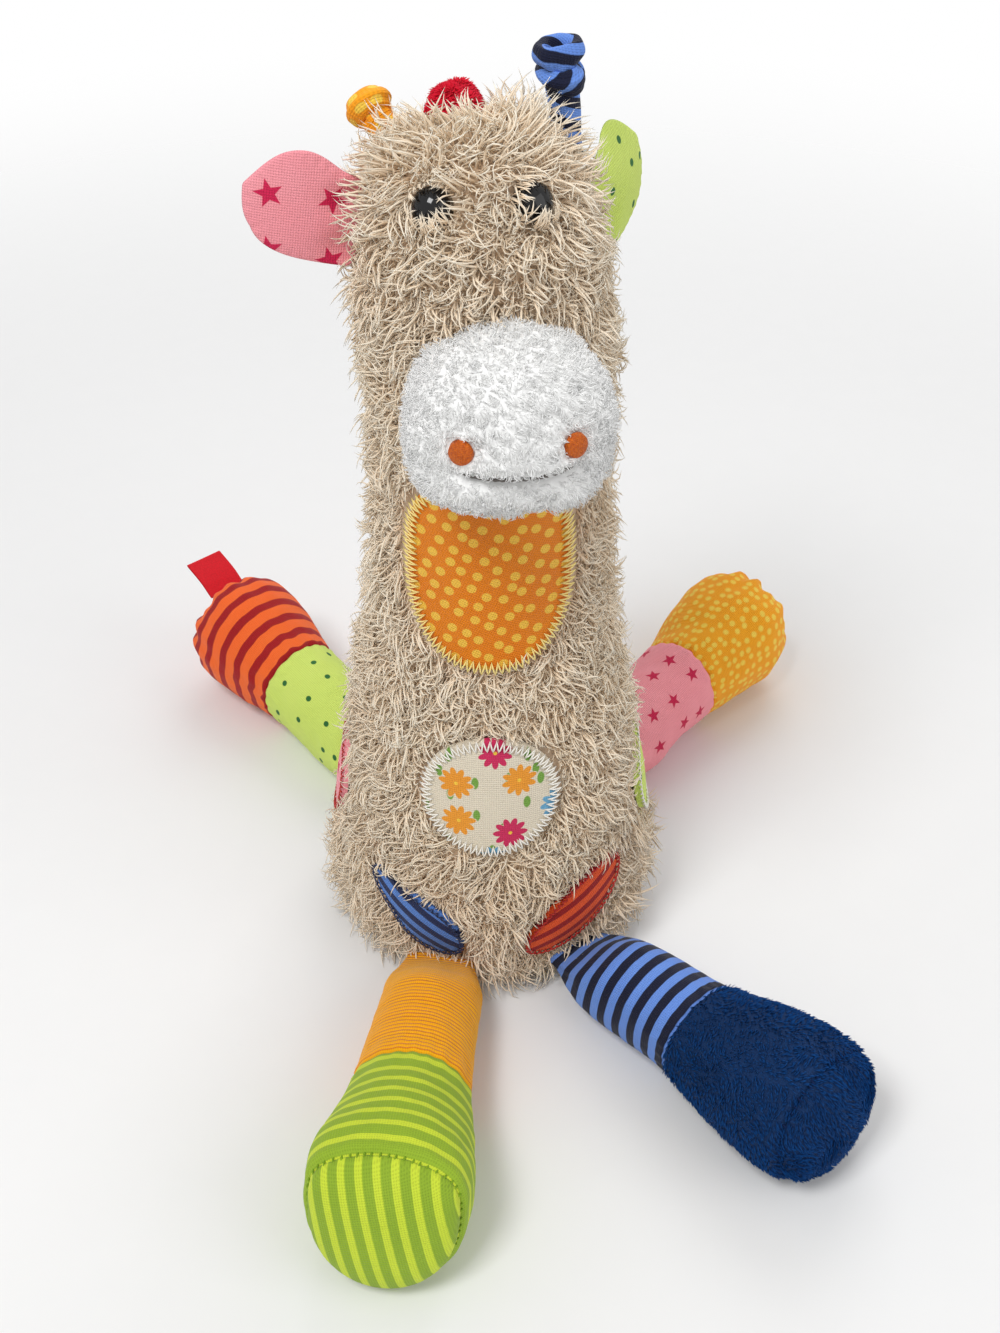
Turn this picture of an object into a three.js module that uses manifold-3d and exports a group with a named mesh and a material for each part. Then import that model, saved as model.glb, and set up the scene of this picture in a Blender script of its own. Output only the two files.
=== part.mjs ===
// A sitting plush giraffe of patchwork cloth: one stuffed column of long pile for body, neck and head,
// four stuffed cloth legs on the floor, a white muzzle, padded ears, knotted horns and sewn-on patches.
// Millimetres, +Z up, facing -Y. The origin is the middle of the seat, on the floor.
import * as THREE from 'three';
import { mergeVertices } from 'three/addons/utils/BufferGeometryUtils.js';
import Module from 'manifold-3d';

const wasm = await Module();
wasm.setup();

// Column of pile fabric: radius at each named height, measured at the middle of the pile
const SEAT_R = 47;
const SEAT_TURN_R = 58;
const SEAT_TURN_Z = 8;
const BELLY_R = 64;
const BELLY_Z = 32;
const FLANK_R = 61;
const FLANK_Z = 66;
const CHEST_R = 53.5;
const CHEST_Z = 105;
const THROAT_R = 46.5;
const THROAT_Z = 148;
const NECK_R = 42;
const NECK_Z = 195;
const NAPE_R = 41.5;
const NAPE_Z = 226;
const CHEEK_R = 42.5;
const CHEEK_Z = 260;
const TEMPLE_R = 40.5;
const TEMPLE_Z = 288;
const BROW_R = 35.5;
const BROW_Z = 308;
const POLL_R = 26.5;
const POLL_Z = 322;
const CROWN_TURN_R = 13;
const CROWN_TURN_Z = 329;
const CROWN_Z = 331;
const COVER_T = 9;
const FILLING_GAP = 0.4;

// Neck: the head's socket turns on the rounded top of the torso
const NECK_PIVOT_Z = 202;
const NECK_BALL_R = 50;
const NECK_GAP = 1.1;
const HEAD_TURN = 7;
const HEAD_LEAN = -5;
const LEAN_START_Z = 236;

// Muzzle: an ovoid on the front of the head, with its sewn mouth line and nostrils
const MUZZLE_WIDTH = 66;
const MUZZLE_DEPTH = 60;
const MUZZLE_HEIGHT = 57;
const MUZZLE_Y = -50;
const MUZZLE_Z = 256;
const MUZZLE_COVER_T = 6;
const MUZZLE_GAP = 0.3;
const MOUTH_WIDTH = 36;
const MOUTH_Z = 250;
const MOUTH_DIP = 2.5;
const MOUTH_THREAD_R = 0.9;
const MOUTH_GROOVE_GAP = 0.35;
const NOSTRIL_SPACING = 36;
const NOSTRIL_Z = 259;
const NOSTRIL_R = 4;
const NOSTRIL_T = 1.6;
const NOSTRIL_SINK = 1.1;
const NOSTRIL_GAP = 0.3;

// Eyes: domes on a shank, locked by a washer inside the cover
const EYE_SPACING = 33;
const EYE_Z = 314;
const EYE_R = 6;
const EYE_DOME = 4.4;
const EYE_SINK = 2.4;
const EYE_GAP = 0.4;
const SHANK_R = 1.6;
const SHANK_TAIL = 1.5;
const WASHER_R = 6;
const WASHER_T = 1.2;
const WASHER_SEAT = 1.7;

// Ears: two cloth panels each, thin at the sewn root
const EAR_LENGTH = 33;
const EAR_PEAK_X = 16;
const EAR_PEAK = 22;
const EAR_CORNER = 9.5;
const EAR_LOW_X = 30;
const EAR_LOW = 4;
const EAR_ROOT_TOP = 15.5;
const EAR_ROOT_BOTTOM = 14;
const EAR_PANEL_T = 2.4;
const EAR_ROOT_T = 0.3;
const EAR_TAPER = 12;
const EAR_PANEL_GAP = 0.3;
const EAR_ROOT_GAP = 0.15;
const EAR_LEFT_Z = 297;
const EAR_RIGHT_Z = 292;
const EARS = [
  { name: 'ear_left', azimuth: 180, height: EAR_LEFT_Z, sweep: 0, color: 0xf796a5 },
  { name: 'ear_right', azimuth: 10, height: EAR_RIGHT_Z, sweep: 46, color: 0xc8e869 },
];

// Horns: cloth tubes tied in a knot, pinched where they are sewn in
const HORN_ROOT_R = 0.7;
const HORN_STEM_R = 4.8;
const HORN_FLARE = 6;
const HORN_LEFT_STEM = 11;
const HORN_RIGHT_STEM = 23;
const HORN_LEFT_Z = 316;
const HORN_RIGHT_Z = 312;
const HORN_KNOT_R = 4.6;
const HORN_KNOT_TUBE = 3.6;
const HORN_KNOT_TILT = 24;
const HORN_TAIL = 8;
const HORN_TAIL_R = 5;
const HORN_ROOT_GAP = 0.6;
const HORNS = [
  { name: 'horn_left', azimuth: 138, height: HORN_LEFT_Z, stem: HORN_LEFT_STEM, lean: 50, color: 0xf7a81c },
  { name: 'horn_right', azimuth: 26, height: HORN_RIGHT_Z, stem: HORN_RIGHT_STEM, lean: -6, color: 0x2c4b94 },
];

// Mane tuft of red pile on the back of the crown
const TUFT_WIDTH = 20;
const TUFT_DEPTH = 28;
const TUFT_HEIGHT = 22;
const TUFT_X = -8;
const TUFT_Y = 16;
const TUFT_Z = 322;
const TUFT_GAP = 0.3;

// Patches: cloth let into pockets of the pile, with an embroidered edge on the two front ones
const PATCH_POCKET = 4.6;
const PATCH_T = 1.5;
const PATCH_GAP = 0.3;
const STITCH_WIDTH = 3.2;
const STITCH_T = 0.9;
const NECK_PATCH_WIDTH = 58;
const NECK_PATCH_TOP_Z = 223;
const NECK_PATCH_SHOULDER_Z = 186;
const NECK_PATCH_BOTTOM_Z = 151;
const NECK_PATCH_CORNER = 12;
const TUMMY_PATCH_WIDTH = 51;
const TUMMY_PATCH_HEIGHT = 48;
const TUMMY_PATCH_Z = 99;
const HIP_PATCH_Z = 38;
const HIP_PATCH_TILT = 37;
const SIDE_PATCH_WIDTH = 32;
const SIDE_PATCH_HEIGHT = 38;
const SIDE_PATCH_Z = 66;
const FRONT_AZIMUTH = -90;

// Legs: a cloth upper sewn flat to the torso, a foot sewn to its cuff and one filling inside both
const LEG_ROOT_Z = 15;
const LEG_ROOT_GAP = 0.7;
const LEG_SEAM_T = 0.9;
const LEG_PINCH = 34;
const LEG_CLOTH_T = 1.5;
const LEG_CUFF_GAP = 0.3;
const LEG_HOLLOW_START = 25;
const LEG_FILLING_GAP = 0.6;
const FLOOR_CUT = 0.5;
const SOLE_BULGE = 10;
const SOLE_SEAM_R_LOSS = 1.5;
const LEGS = [
  { name: 'front_left', azimuth: -109, yaw: 12, rootR: 17.5, cuffR: 21, footR: 28, upper: 64, foot: 66,
    lean: 0.34, sole: true, upperColor: 0xf2a20c, footColor: 0x8fb52c, soleColor: 0xc4db2f },
  { name: 'front_right', azimuth: -57, yaw: 11, rootR: 17, cuffR: 19, footR: 26.5, upper: 62, foot: 66,
    lean: 0.1, sole: true, upperColor: 0x6c93e8, footColor: 0x143773, soleColor: 0x143773 },
  { name: 'back_left', azimuth: 131, yaw: 0, rootR: 18, cuffR: 20.5, footR: 26.5, upper: 72, foot: 58,
    lean: 0, sole: false, upperColor: 0xc4de6a, footColor: 0xf5682a, soleColor: 0xf5682a },
  { name: 'back_right', azimuth: 50, yaw: 0, rootR: 18, cuffR: 20.5, footR: 27, upper: 72, foot: 60,
    lean: 0, sole: false, upperColor: 0xf48a93, footColor: 0xf9a81e, soleColor: 0xf9a81e },
];

// Label: a folded ribbon loop in the end seam of the back left foot
const TAG_LEG = 'back_left';
const TAG_WIDTH = 18;
const TAG_LENGTH = 21;
const TAG_RIBBON_T = 0.5;
const TAG_FOLD_GAP = 0.5;
const TAG_SEAM_R = 15;
const TAG_RISE = 24;
const TAG_ROOT_GAP = 0.5;

// Fineness of the turned and swept surfaces
const COLUMN_SIDES = 28;
const COLUMN_STEPS = 20;
const CORE_SIDES = 13;
const CORE_STEPS = 10;
const LEG_SIDES = 14;
const BALL_SIDES = 24;
const BALL_RINGS = 16;
const SOFT_SIDES = 16;
const SOFT_RINGS = 10;
const SMALL_SIDES = 12;
const KNOT_SIDES = 6;
const OUTLINE_SIDES = 9;
const WELD = 1e-4;

const COLOR = {
  plush: 0xc9b49b,
  filling: 0xf4f2ec,
  white: 0xf3f1ee,
  thread: 0x9a948c,
  nostril: 0xc85514,
  eye: 0x14110f,
  washer: 0xe4e2da,
  red: 0xe8213c,
  neckPatch: 0xeb870f,
  gold: 0xd9a92a,
  cream: 0xefe6d3,
  offWhite: 0xe8e0d2,
  navy: 0x27366b,
  darkRed: 0xb0281e,
  pink: 0xf796a5,
  lime: 0xc8e869,
};

const radians = THREE.MathUtils.degToRad;
const point = (x, y) => new THREE.Vector2(x, y);
const smooth = (value, start, end) => THREE.MathUtils.smoothstep(value, start, end);

// Solids: a closed geometry becomes a manifold body, and a body becomes a geometry again
function solidFrom(positions, corners) {
  return new wasm.Manifold(new wasm.Mesh({
    numProp: 3,
    vertProperties: Float32Array.from(positions),
    triVerts: Uint32Array.from(corners),
  }));
}

function solidOf(geometry) {
  const bare = new THREE.BufferGeometry();
  bare.setAttribute('position', geometry.getAttribute('position'));
  bare.setIndex(geometry.getIndex());
  const merged = mergeVertices(bare, WELD);
  const index = merged.getIndex().array;
  const corners = [];
  for (let i = 0; i < index.length; i += 3) {
    const [a, b, c] = index.slice(i, i + 3);
    if (a !== b && b !== c && c !== a) {
      corners.push(a, b, c);
    }
  }
  const positions = merged.getAttribute('position').array;
  const solid = solidFrom(positions, corners);
  return solid.volume() > 0 ? solid : solidFrom(positions, corners.reverse());
}

function geometryOf(solid) {
  const mesh = solid.getMesh();
  const geometry = new THREE.BufferGeometry();
  geometry.setAttribute('position', new THREE.BufferAttribute(new Float32Array(mesh.vertProperties), 3));
  geometry.setIndex(new THREE.BufferAttribute(new Uint32Array(mesh.triVerts), 1));
  geometry.computeVertexNormals();
  return geometry;
}

function part(name, solid, color, roughness = 0.9) {
  const material = new THREE.MeshStandardMaterial({ color, roughness, metalness: 0 });
  const mesh = new THREE.Mesh(geometryOf(solid), material);
  mesh.name = name;
  return mesh;
}

// A profile of (radius, height) points turned about +Z
function turned(profile, sides) {
  return new THREE.LatheGeometry(profile, sides).rotateX(Math.PI / 2);
}

function box(width, depth, height, x, y, z) {
  return solidOf(new THREE.BoxGeometry(width, depth, height).translate(x, y, z));
}

function ellipsoid(width, depth, height, center, sides = SOFT_SIDES, rings = SOFT_RINGS) {
  const sphere = new THREE.SphereGeometry(0.5, sides, rings).rotateX(Math.PI / 2);
  return sphere.scale(width, depth, height).translate(center.x, center.y, center.z);
}

function tubeAlong(curve, radius, sides, steps) {
  const section = new THREE.Shape().absarc(0, 0, radius, 0, 2 * Math.PI);
  return new THREE.ExtrudeGeometry(section, { extrudePath: curve, steps, curveSegments: sides });
}

// A frame whose Z axis is the given direction
function facing(origin, direction) {
  const turn = new THREE.Quaternion().setFromUnitVectors(new THREE.Vector3(0, 0, 1), direction);
  return new THREE.Matrix4().compose(origin, turn, new THREE.Vector3(1, 1, 1));
}

// Column: its outline as a curve, its surface at a height, and the solid inside the pile at any depth
const columnCurve = new THREE.SplineCurve([
  point(SEAT_R, 0),
  point(SEAT_TURN_R, SEAT_TURN_Z),
  point(BELLY_R, BELLY_Z),
  point(FLANK_R, FLANK_Z),
  point(CHEST_R, CHEST_Z),
  point(THROAT_R, THROAT_Z),
  point(NECK_R, NECK_Z),
  point(NAPE_R, NAPE_Z),
  point(CHEEK_R, CHEEK_Z),
  point(TEMPLE_R, TEMPLE_Z),
  point(BROW_R, BROW_Z),
  point(POLL_R, POLL_Z),
  point(CROWN_TURN_R, CROWN_TURN_Z),
  point(0, CROWN_Z),
]);

function columnAt(height) {
  let low = 0;
  let high = 1;
  for (let i = 0; i < 40; i++) {
    const middle = (low + high) / 2;
    if (columnCurve.getPoint(middle).y < height) {
      low = middle;
    } else {
      high = middle;
    }
  }
  const tangent = columnCurve.getTangent(low);
  return { radius: columnCurve.getPoint(low).x, out: tangent.y, up: -tangent.x };
}

// The stuffed head leans a little to one side above the neck
const headLean = (height) => HEAD_LEAN * smooth(height, LEAN_START_Z, CROWN_Z);

function leaned(geometry) {
  const places = geometry.getAttribute('position');
  for (let i = 0; i < places.count; i++) {
    places.setX(i, places.getX(i) + headLean(places.getZ(i)));
  }
  return geometry;
}

function surfaceAt(azimuth, height) {
  const { radius, out, up } = columnAt(height);
  const cos = Math.cos(radians(azimuth));
  const sin = Math.sin(radians(azimuth));
  const slant = headLean(height + 0.5) - headLean(height - 0.5);
  return {
    origin: new THREE.Vector3(radius * cos + headLean(height), radius * sin, height),
    normal: new THREE.Vector3(out * cos, out * sin, up - slant * out * cos).normalize(),
  };
}

function columnSolid(depth, sides = COLUMN_SIDES, steps = COLUMN_STEPS) {
  const top = CROWN_Z - depth;
  const profile = [point(0, depth)];
  for (let i = 0; i < steps; i++) {
    const at = columnCurve.getPoint(i / steps);
    const along = columnCurve.getTangent(i / steps);
    const height = THREE.MathUtils.clamp(at.y + along.x * depth, depth, top);
    profile.push(point(at.x - along.y * depth, height));
  }
  profile.push(point(0, top));
  return solidOf(leaned(turned(profile, sides)));
}

// Neck ball: the rounded top of the torso, and the larger socket in the head
const FAR = 2 * CROWN_Z;
const neckCenter = new THREE.Vector3(0, 0, NECK_PIVOT_Z);
const neckBall = (radius) => solidOf(
  ellipsoid(2 * radius, 2 * radius, 2 * radius, neckCenter, BALL_SIDES, BALL_RINGS));
const belowPivot = box(FAR, FAR, FAR, 0, 0, NECK_PIVOT_Z - FAR / 2);
const torsoRegion = belowPivot.add(neckBall(NECK_BALL_R));
const headRegion = box(FAR, FAR, FAR, 0, 0, NECK_PIVOT_Z + FAR / 2).subtract(neckBall(NECK_BALL_R + NECK_GAP));

// Patches: an outline in the plane that faces the patch, pushed outward through the pile
function outlineTool(shape, azimuth, height) {
  const out = new THREE.Vector3(Math.cos(radians(azimuth)), Math.sin(radians(azimuth)), 0);
  const across = new THREE.Vector3(-out.y, out.x, 0);
  const frame = new THREE.Matrix4().makeBasis(across, new THREE.Vector3(0, 0, 1), out);
  frame.setPosition(0, 0, height);
  const settings = { depth: 2 * BELLY_R, bevelEnabled: false, curveSegments: OUTLINE_SIDES };
  return solidOf(new THREE.ExtrudeGeometry(shape, settings).applyMatrix4(frame));
}

function neckOutline(inset) {
  const half = NECK_PATCH_WIDTH / 2 - inset;
  const top = NECK_PATCH_TOP_Z - NECK_PATCH_SHOULDER_Z - inset;
  const drop = NECK_PATCH_SHOULDER_Z - NECK_PATCH_BOTTOM_Z - inset;
  const shape = new THREE.Shape();
  shape.absellipse(0, 0, half, drop, Math.PI, 2 * Math.PI);
  shape.lineTo(half, top - NECK_PATCH_CORNER);
  shape.quadraticCurveTo(half, top, half - NECK_PATCH_CORNER, top);
  shape.lineTo(NECK_PATCH_CORNER - half, top);
  shape.quadraticCurveTo(-half, top, -half, top - NECK_PATCH_CORNER);
  return shape;
}

function ovalOutline(width, height) {
  return (inset) => new THREE.Shape().absellipse(0, 0, width / 2 - inset, height / 2 - inset, 0, 2 * Math.PI);
}

// A leaf: two equal arcs that meet at its rounded tips
function leafOutline(length, width, tilt) {
  return (inset) => {
    const shape = new THREE.Shape();
    const count = 2 * OUTLINE_SIDES;
    for (let i = 0; i < count; i++) {
      const angle = (2 * Math.PI * i) / count;
      const along = (length / 2 - inset) * Math.cos(angle);
      const wide = (width / 2 - inset) * Math.sin(angle) * Math.sqrt(Math.abs(Math.sin(angle)));
      const corner = point(along, wide).rotateAround(point(0, 0), radians(tilt));
      if (i === 0) {
        shape.moveTo(corner.x, corner.y);
      } else {
        shape.lineTo(corner.x, corner.y);
      }
    }
    return shape;
  };
}

const PATCHES = [
  { name: 'neck_patch', outline: neckOutline, azimuth: FRONT_AZIMUTH, height: NECK_PATCH_SHOULDER_Z,
    color: COLOR.neckPatch, stitch: COLOR.gold },
  { name: 'tummy_patch', outline: ovalOutline(TUMMY_PATCH_WIDTH, TUMMY_PATCH_HEIGHT), azimuth: FRONT_AZIMUTH,
    height: TUMMY_PATCH_Z, color: COLOR.cream, stitch: COLOR.offWhite },
  { name: 'hip_patch_left', outline: leafOutline(52, 19, -HIP_PATCH_TILT), azimuth: -119, height: HIP_PATCH_Z,
    color: COLOR.navy },
  { name: 'hip_patch_right', outline: leafOutline(56, 22, HIP_PATCH_TILT), azimuth: -57, height: HIP_PATCH_Z,
    color: COLOR.darkRed },
  { name: 'side_patch_left', outline: ovalOutline(SIDE_PATCH_WIDTH, SIDE_PATCH_HEIGHT), azimuth: 180,
    height: SIDE_PATCH_Z, color: COLOR.pink },
  { name: 'side_patch_right', outline: ovalOutline(SIDE_PATCH_WIDTH, SIDE_PATCH_HEIGHT), azimuth: 0,
    height: SIDE_PATCH_Z, color: COLOR.lime },
];

function pileLayer(outer, inner) {
  return columnSolid(outer).subtract(columnSolid(inner));
}

function patchParts() {
  const pocketFloor = columnSolid(PATCH_POCKET);
  const clothTop = PATCH_POCKET - PATCH_GAP - PATCH_T;
  const cloth = pileLayer(clothTop, PATCH_POCKET - PATCH_GAP);
  const thread = pileLayer(clothTop - PATCH_GAP - STITCH_T, clothTop - PATCH_GAP);
  const parts = [];
  let pockets = null;
  for (const { name, outline, azimuth, height, color, stitch } of PATCHES) {
    const pocket = outlineTool(outline(-PATCH_GAP), azimuth, height).subtract(pocketFloor);
    pockets = pockets ? pockets.add(pocket) : pocket;
    const full = outlineTool(outline(0), azimuth, height);
    parts.push(part(name, cloth.intersect(full), color, 0.8));
    if (stitch !== undefined) {
      const edge = full.subtract(outlineTool(outline(STITCH_WIDTH), azimuth, height));
      parts.push(part(`${name}_stitching`, thread.intersect(edge), stitch, 0.6));
    }
  }
  return { parts, pockets };
}

// Torso: a pile cover open at the neck, and the filling that it holds
function torso() {
  const group = new THREE.Group();
  const { parts, pockets } = patchParts();
  const hollow = columnSolid(COVER_T, CORE_SIDES, CORE_STEPS);
  const cover = columnSolid(0).subtract(hollow).subtract(pockets).intersect(torsoRegion);
  const filling = columnSolid(COVER_T + FILLING_GAP, CORE_SIDES, CORE_STEPS).intersect(torsoRegion);
  group.add(part('torso_cover', cover, COLOR.plush, 0.95));
  group.add(part('torso_filling', filling, COLOR.filling, 1));
  group.add(...parts);
  return group;
}

// Eyes: each on its own frame, with the pockets that it needs in the cover and in the filling
function eyeAt(side) {
  const { radius } = columnAt(EYE_Z);
  const azimuth = THREE.MathUtils.radToDeg(Math.atan2(-Math.sqrt(radius ** 2 - (EYE_SPACING / 2) ** 2),
    side * EYE_SPACING / 2));
  const { origin, normal } = surfaceAt(azimuth, EYE_Z);
  const frame = facing(origin.addScaledVector(normal, -EYE_SINK), normal);
  const disc = (radius0, from, to) => turned([point(0, from), point(radius0, from), point(radius0, to),
    point(0, to)], SMALL_SIDES);
  const placed = (geometry) => solidOf(geometry.applyMatrix4(frame));
  const coverBack = EYE_SINK - COVER_T;
  const washerTop = coverBack - WASHER_SEAT;
  const shankEnd = washerTop - WASHER_T - SHANK_TAIL;
  const dome = [point(0, shankEnd), point(SHANK_R, shankEnd), point(SHANK_R, 0), point(EYE_R, 0)];
  for (let i = 1; i <= 6; i++) {
    const angle = (Math.PI / 2) * (i / 6);
    dome.push(point(i === 6 ? 0 : EYE_R * Math.cos(angle), EYE_DOME * Math.sin(angle)));
  }
  const bore = SHANK_R + EYE_GAP;
  const ring = [point(bore, washerTop - WASHER_T), point(WASHER_R, washerTop - WASHER_T),
    point(WASHER_R, washerTop), point(bore, washerTop), point(bore, washerTop - WASHER_T)];
  return {
    eye: placed(turned(dome, SMALL_SIDES)),
    washer: placed(turned(ring, SMALL_SIDES)),
    coverCut: placed(disc(EYE_R + EYE_GAP, -EYE_GAP, EYE_SINK + EYE_DOME)).add(placed(disc(bore, shankEnd, 0))),
    coverSeat: placed(disc(WASHER_R + EYE_GAP, shankEnd, washerTop + EYE_GAP)),
    fillingCut: placed(disc(WASHER_R + EYE_GAP, shankEnd - EYE_GAP, EYE_SINK)),
  };
}

// Muzzle: a pile cover open against the head, its filling, and the sewn mouth and nostrils
const muzzleCenter = new THREE.Vector3(0, MUZZLE_Y, MUZZLE_Z);

function muzzleSolid(inset) {
  const shrink = 2 * inset;
  return solidOf(ellipsoid(MUZZLE_WIDTH - shrink, MUZZLE_DEPTH - shrink, MUZZLE_HEIGHT - shrink, muzzleCenter));
}

function muzzleSurface(x, z) {
  const across = (2 * x) / MUZZLE_WIDTH;
  const rise = (2 * (z - MUZZLE_Z)) / MUZZLE_HEIGHT;
  const ahead = Math.sqrt(1 - across ** 2 - rise ** 2);
  const normal = new THREE.Vector3(across / MUZZLE_WIDTH, -ahead / MUZZLE_DEPTH, rise / MUZZLE_HEIGHT);
  return {
    origin: new THREE.Vector3(x, MUZZLE_Y - (ahead * MUZZLE_DEPTH) / 2, z),
    normal: normal.normalize(),
  };
}

function mouthCurve() {
  const points = [];
  for (let i = -4; i <= 4; i++) {
    const share = i / 4;
    const { origin } = muzzleSurface((share * MOUTH_WIDTH) / 2, MOUTH_Z - MOUTH_DIP * (1 - share ** 2));
    points.push(origin);
  }
  return new THREE.CatmullRomCurve3(points);
}

function nostrilSolid(side, radius, from, to) {
  const { origin, normal } = muzzleSurface((side * NOSTRIL_SPACING) / 2, NOSTRIL_Z);
  const profile = [point(0, from), point(radius, from), point(radius, to), point(0, to)];
  return solidOf(turned(profile, SMALL_SIDES).applyMatrix4(facing(origin, normal)));
}

function muzzle(group) {
  const headFace = columnSolid(-MUZZLE_GAP).add(neckBall(NECK_BALL_R + NECK_GAP));
  const mouth = mouthCurve();
  const groove = solidOf(tubeAlong(mouth, MOUTH_THREAD_R + MOUTH_GROOVE_GAP, 3, 8));
  const thread = new THREE.CatmullRomCurve3(mouth.getPoints(16).slice(1, 16));
  let cover = muzzleSolid(0).subtract(headFace).subtract(muzzleSolid(MUZZLE_COVER_T)).subtract(groove);
  for (const side of [-1, 1]) {
    cover = cover.subtract(nostrilSolid(side, NOSTRIL_R + NOSTRIL_GAP, -NOSTRIL_SINK - NOSTRIL_GAP, NOSTRIL_R));
    const disc = nostrilSolid(side, NOSTRIL_R, -NOSTRIL_SINK, NOSTRIL_T - NOSTRIL_SINK);
    group.add(part(side < 0 ? 'nostril_left' : 'nostril_right', disc, COLOR.nostril, 0.6));
  }
  const filling = muzzleSolid(MUZZLE_COVER_T + FILLING_GAP).subtract(headFace);
  group.add(part('muzzle_cover', cover, COLOR.white, 0.95));
  group.add(part('muzzle_filling', filling, COLOR.filling, 1));
  group.add(part('mouth_stitch', solidOf(tubeAlong(thread, MOUTH_THREAD_R, 3, 8)), COLOR.thread, 0.7));
}

// Ears: a rounded outline, doubled, each panel thinning to the root that it hinges on
function earOutline() {
  const shape = new THREE.Shape();
  shape.moveTo(0, -EAR_ROOT_BOTTOM);
  shape.bezierCurveTo(0.5 * EAR_LOW_X, -EAR_ROOT_BOTTOM, 0.9 * EAR_LOW_X, -0.85 * EAR_ROOT_BOTTOM,
    EAR_LOW_X, -EAR_LOW);
  shape.bezierCurveTo(EAR_LENGTH, 0, EAR_LENGTH, EAR_LOW, EAR_LENGTH, EAR_CORNER);
  shape.bezierCurveTo(0.8 * EAR_LENGTH, 0.8 * EAR_PEAK, 1.4 * EAR_PEAK_X, EAR_PEAK, EAR_PEAK_X, EAR_PEAK);
  shape.bezierCurveTo(0.6 * EAR_PEAK_X, EAR_PEAK, 0.3 * EAR_PEAK_X, EAR_ROOT_TOP, 0, EAR_ROOT_TOP);
  return shape;
}

function earPanel(side) {
  const settings = { depth: 1, bevelEnabled: false, curveSegments: SMALL_SIDES };
  const geometry = new THREE.ExtrudeGeometry(earOutline(), settings);
  const places = geometry.getAttribute('position');
  for (let i = 0; i < places.count; i++) {
    const along = places.getX(i);
    const thick = EAR_ROOT_T + (EAR_PANEL_T - EAR_ROOT_T) * smooth(along, 0, EAR_TAPER);
    const depth = EAR_PANEL_GAP / 2 + places.getZ(i) * thick;
    places.setXYZ(i, along, side * depth, places.getY(i));
  }
  return solidOf(geometry);
}

function ear({ name, azimuth, height, sweep, color }) {
  const { origin, normal } = surfaceAt(azimuth, height);
  const across = new THREE.Vector3(0, 0, 1).cross(normal).normalize();
  const group = new THREE.Group();
  group.applyMatrix4(new THREE.Matrix4().makeBasis(normal, across, normal.clone().cross(across)));
  group.position.copy(origin.addScaledVector(normal, EAR_ROOT_GAP));
  const flap = new THREE.Group();
  flap.rotation.z = radians(sweep);
  const front = azimuth > 90 ? 1 : -1;
  flap.add(part(`${name}_front`, earPanel(front), color, 0.85));
  flap.add(part(`${name}_back`, earPanel(-front), color, 0.85));
  group.add(flap);
  return group;
}

// Horns: a pinched stem flattened on the head, two crossing turns of the knot and the loose tail above it
function hornSolid(height) {
  const stem = turned([
    point(0, HORN_ROOT_GAP),
    point(HORN_ROOT_R, HORN_ROOT_GAP),
    point(HORN_STEM_R, HORN_FLARE),
    point(HORN_STEM_R, height),
    point(HORN_TAIL_R, height + HORN_TAIL),
    point(0, height + HORN_TAIL),
  ], SMALL_SIDES);
  let solid = solidOf(stem);
  for (const tilt of [-HORN_KNOT_TILT, HORN_KNOT_TILT]) {
    const turn = new THREE.TorusGeometry(HORN_KNOT_R, HORN_KNOT_TUBE, KNOT_SIDES, SMALL_SIDES);
    solid = solid.add(solidOf(turn.rotateX(radians(tilt)).rotateY(radians(tilt / 2)).translate(0, 0, height)));
  }
  return solid;
}

function horn({ name, azimuth, height, stem, lean, color }) {
  const tied = new THREE.Group();
  tied.position.copy(surfaceAt(azimuth, height).origin);
  tied.rotation.set(0, radians(lean), radians(azimuth), 'ZYX');
  tied.updateMatrix();
  const headSide = columnSolid(-HORN_ROOT_GAP).transform(tied.matrix.clone().invert().elements);
  tied.add(part(name, hornSolid(stem).subtract(headSide), color, 0.8));
  return tied;
}

function head() {
  const group = new THREE.Group();
  group.rotation.z = radians(HEAD_TURN);
  let cover = columnSolid(0).intersect(headRegion).subtract(columnSolid(COVER_T, CORE_SIDES, CORE_STEPS));
  let filling = columnSolid(COVER_T + FILLING_GAP, CORE_SIDES, CORE_STEPS).intersect(headRegion);
  for (const side of [-1, 1]) {
    const label = side < 0 ? 'left' : 'right';
    const { eye, washer, coverCut, coverSeat, fillingCut } = eyeAt(side);
    cover = cover.subtract(coverCut).subtract(coverSeat);
    filling = filling.subtract(fillingCut);
    group.add(part(`eye_${label}`, eye, COLOR.eye, 0.1));
    group.add(part(`eye_washer_${label}`, washer, COLOR.washer, 0.5));
  }
  group.add(part('head_cover', cover, COLOR.plush, 0.95));
  group.add(part('head_filling', filling, COLOR.filling, 1));
  muzzle(group);
  const tuftCenter = new THREE.Vector3(TUFT_X, TUFT_Y, TUFT_Z);
  const tuft = solidOf(ellipsoid(TUFT_WIDTH, TUFT_DEPTH, TUFT_HEIGHT, tuftCenter));
  group.add(part('mane_tuft', tuft.subtract(columnSolid(-TUFT_GAP)), COLOR.red, 0.95));
  group.add(...EARS.map(ear), ...HORNS.map(horn));
  return group;
}

// Legs: profiles of (radius, distance from the root), turned about the leg and then settled on the floor
function legOutline({ rootR, cuffR, footR, upper, foot }) {
  return new THREE.SplineCurve([
    point(rootR, -LEG_SEAM_T * 8),
    point(rootR, 0),
    point((rootR + cuffR) / 2, upper / 2),
    point(cuffR, upper),
    point(0.91 * footR, upper + 0.36 * foot),
    point(footR, upper + 0.66 * foot),
    point(0.9 * footR, upper + 0.86 * foot),
    point(0.5 * footR, upper + 0.98 * foot),
    point(0, upper + foot),
  ]);
}

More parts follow.
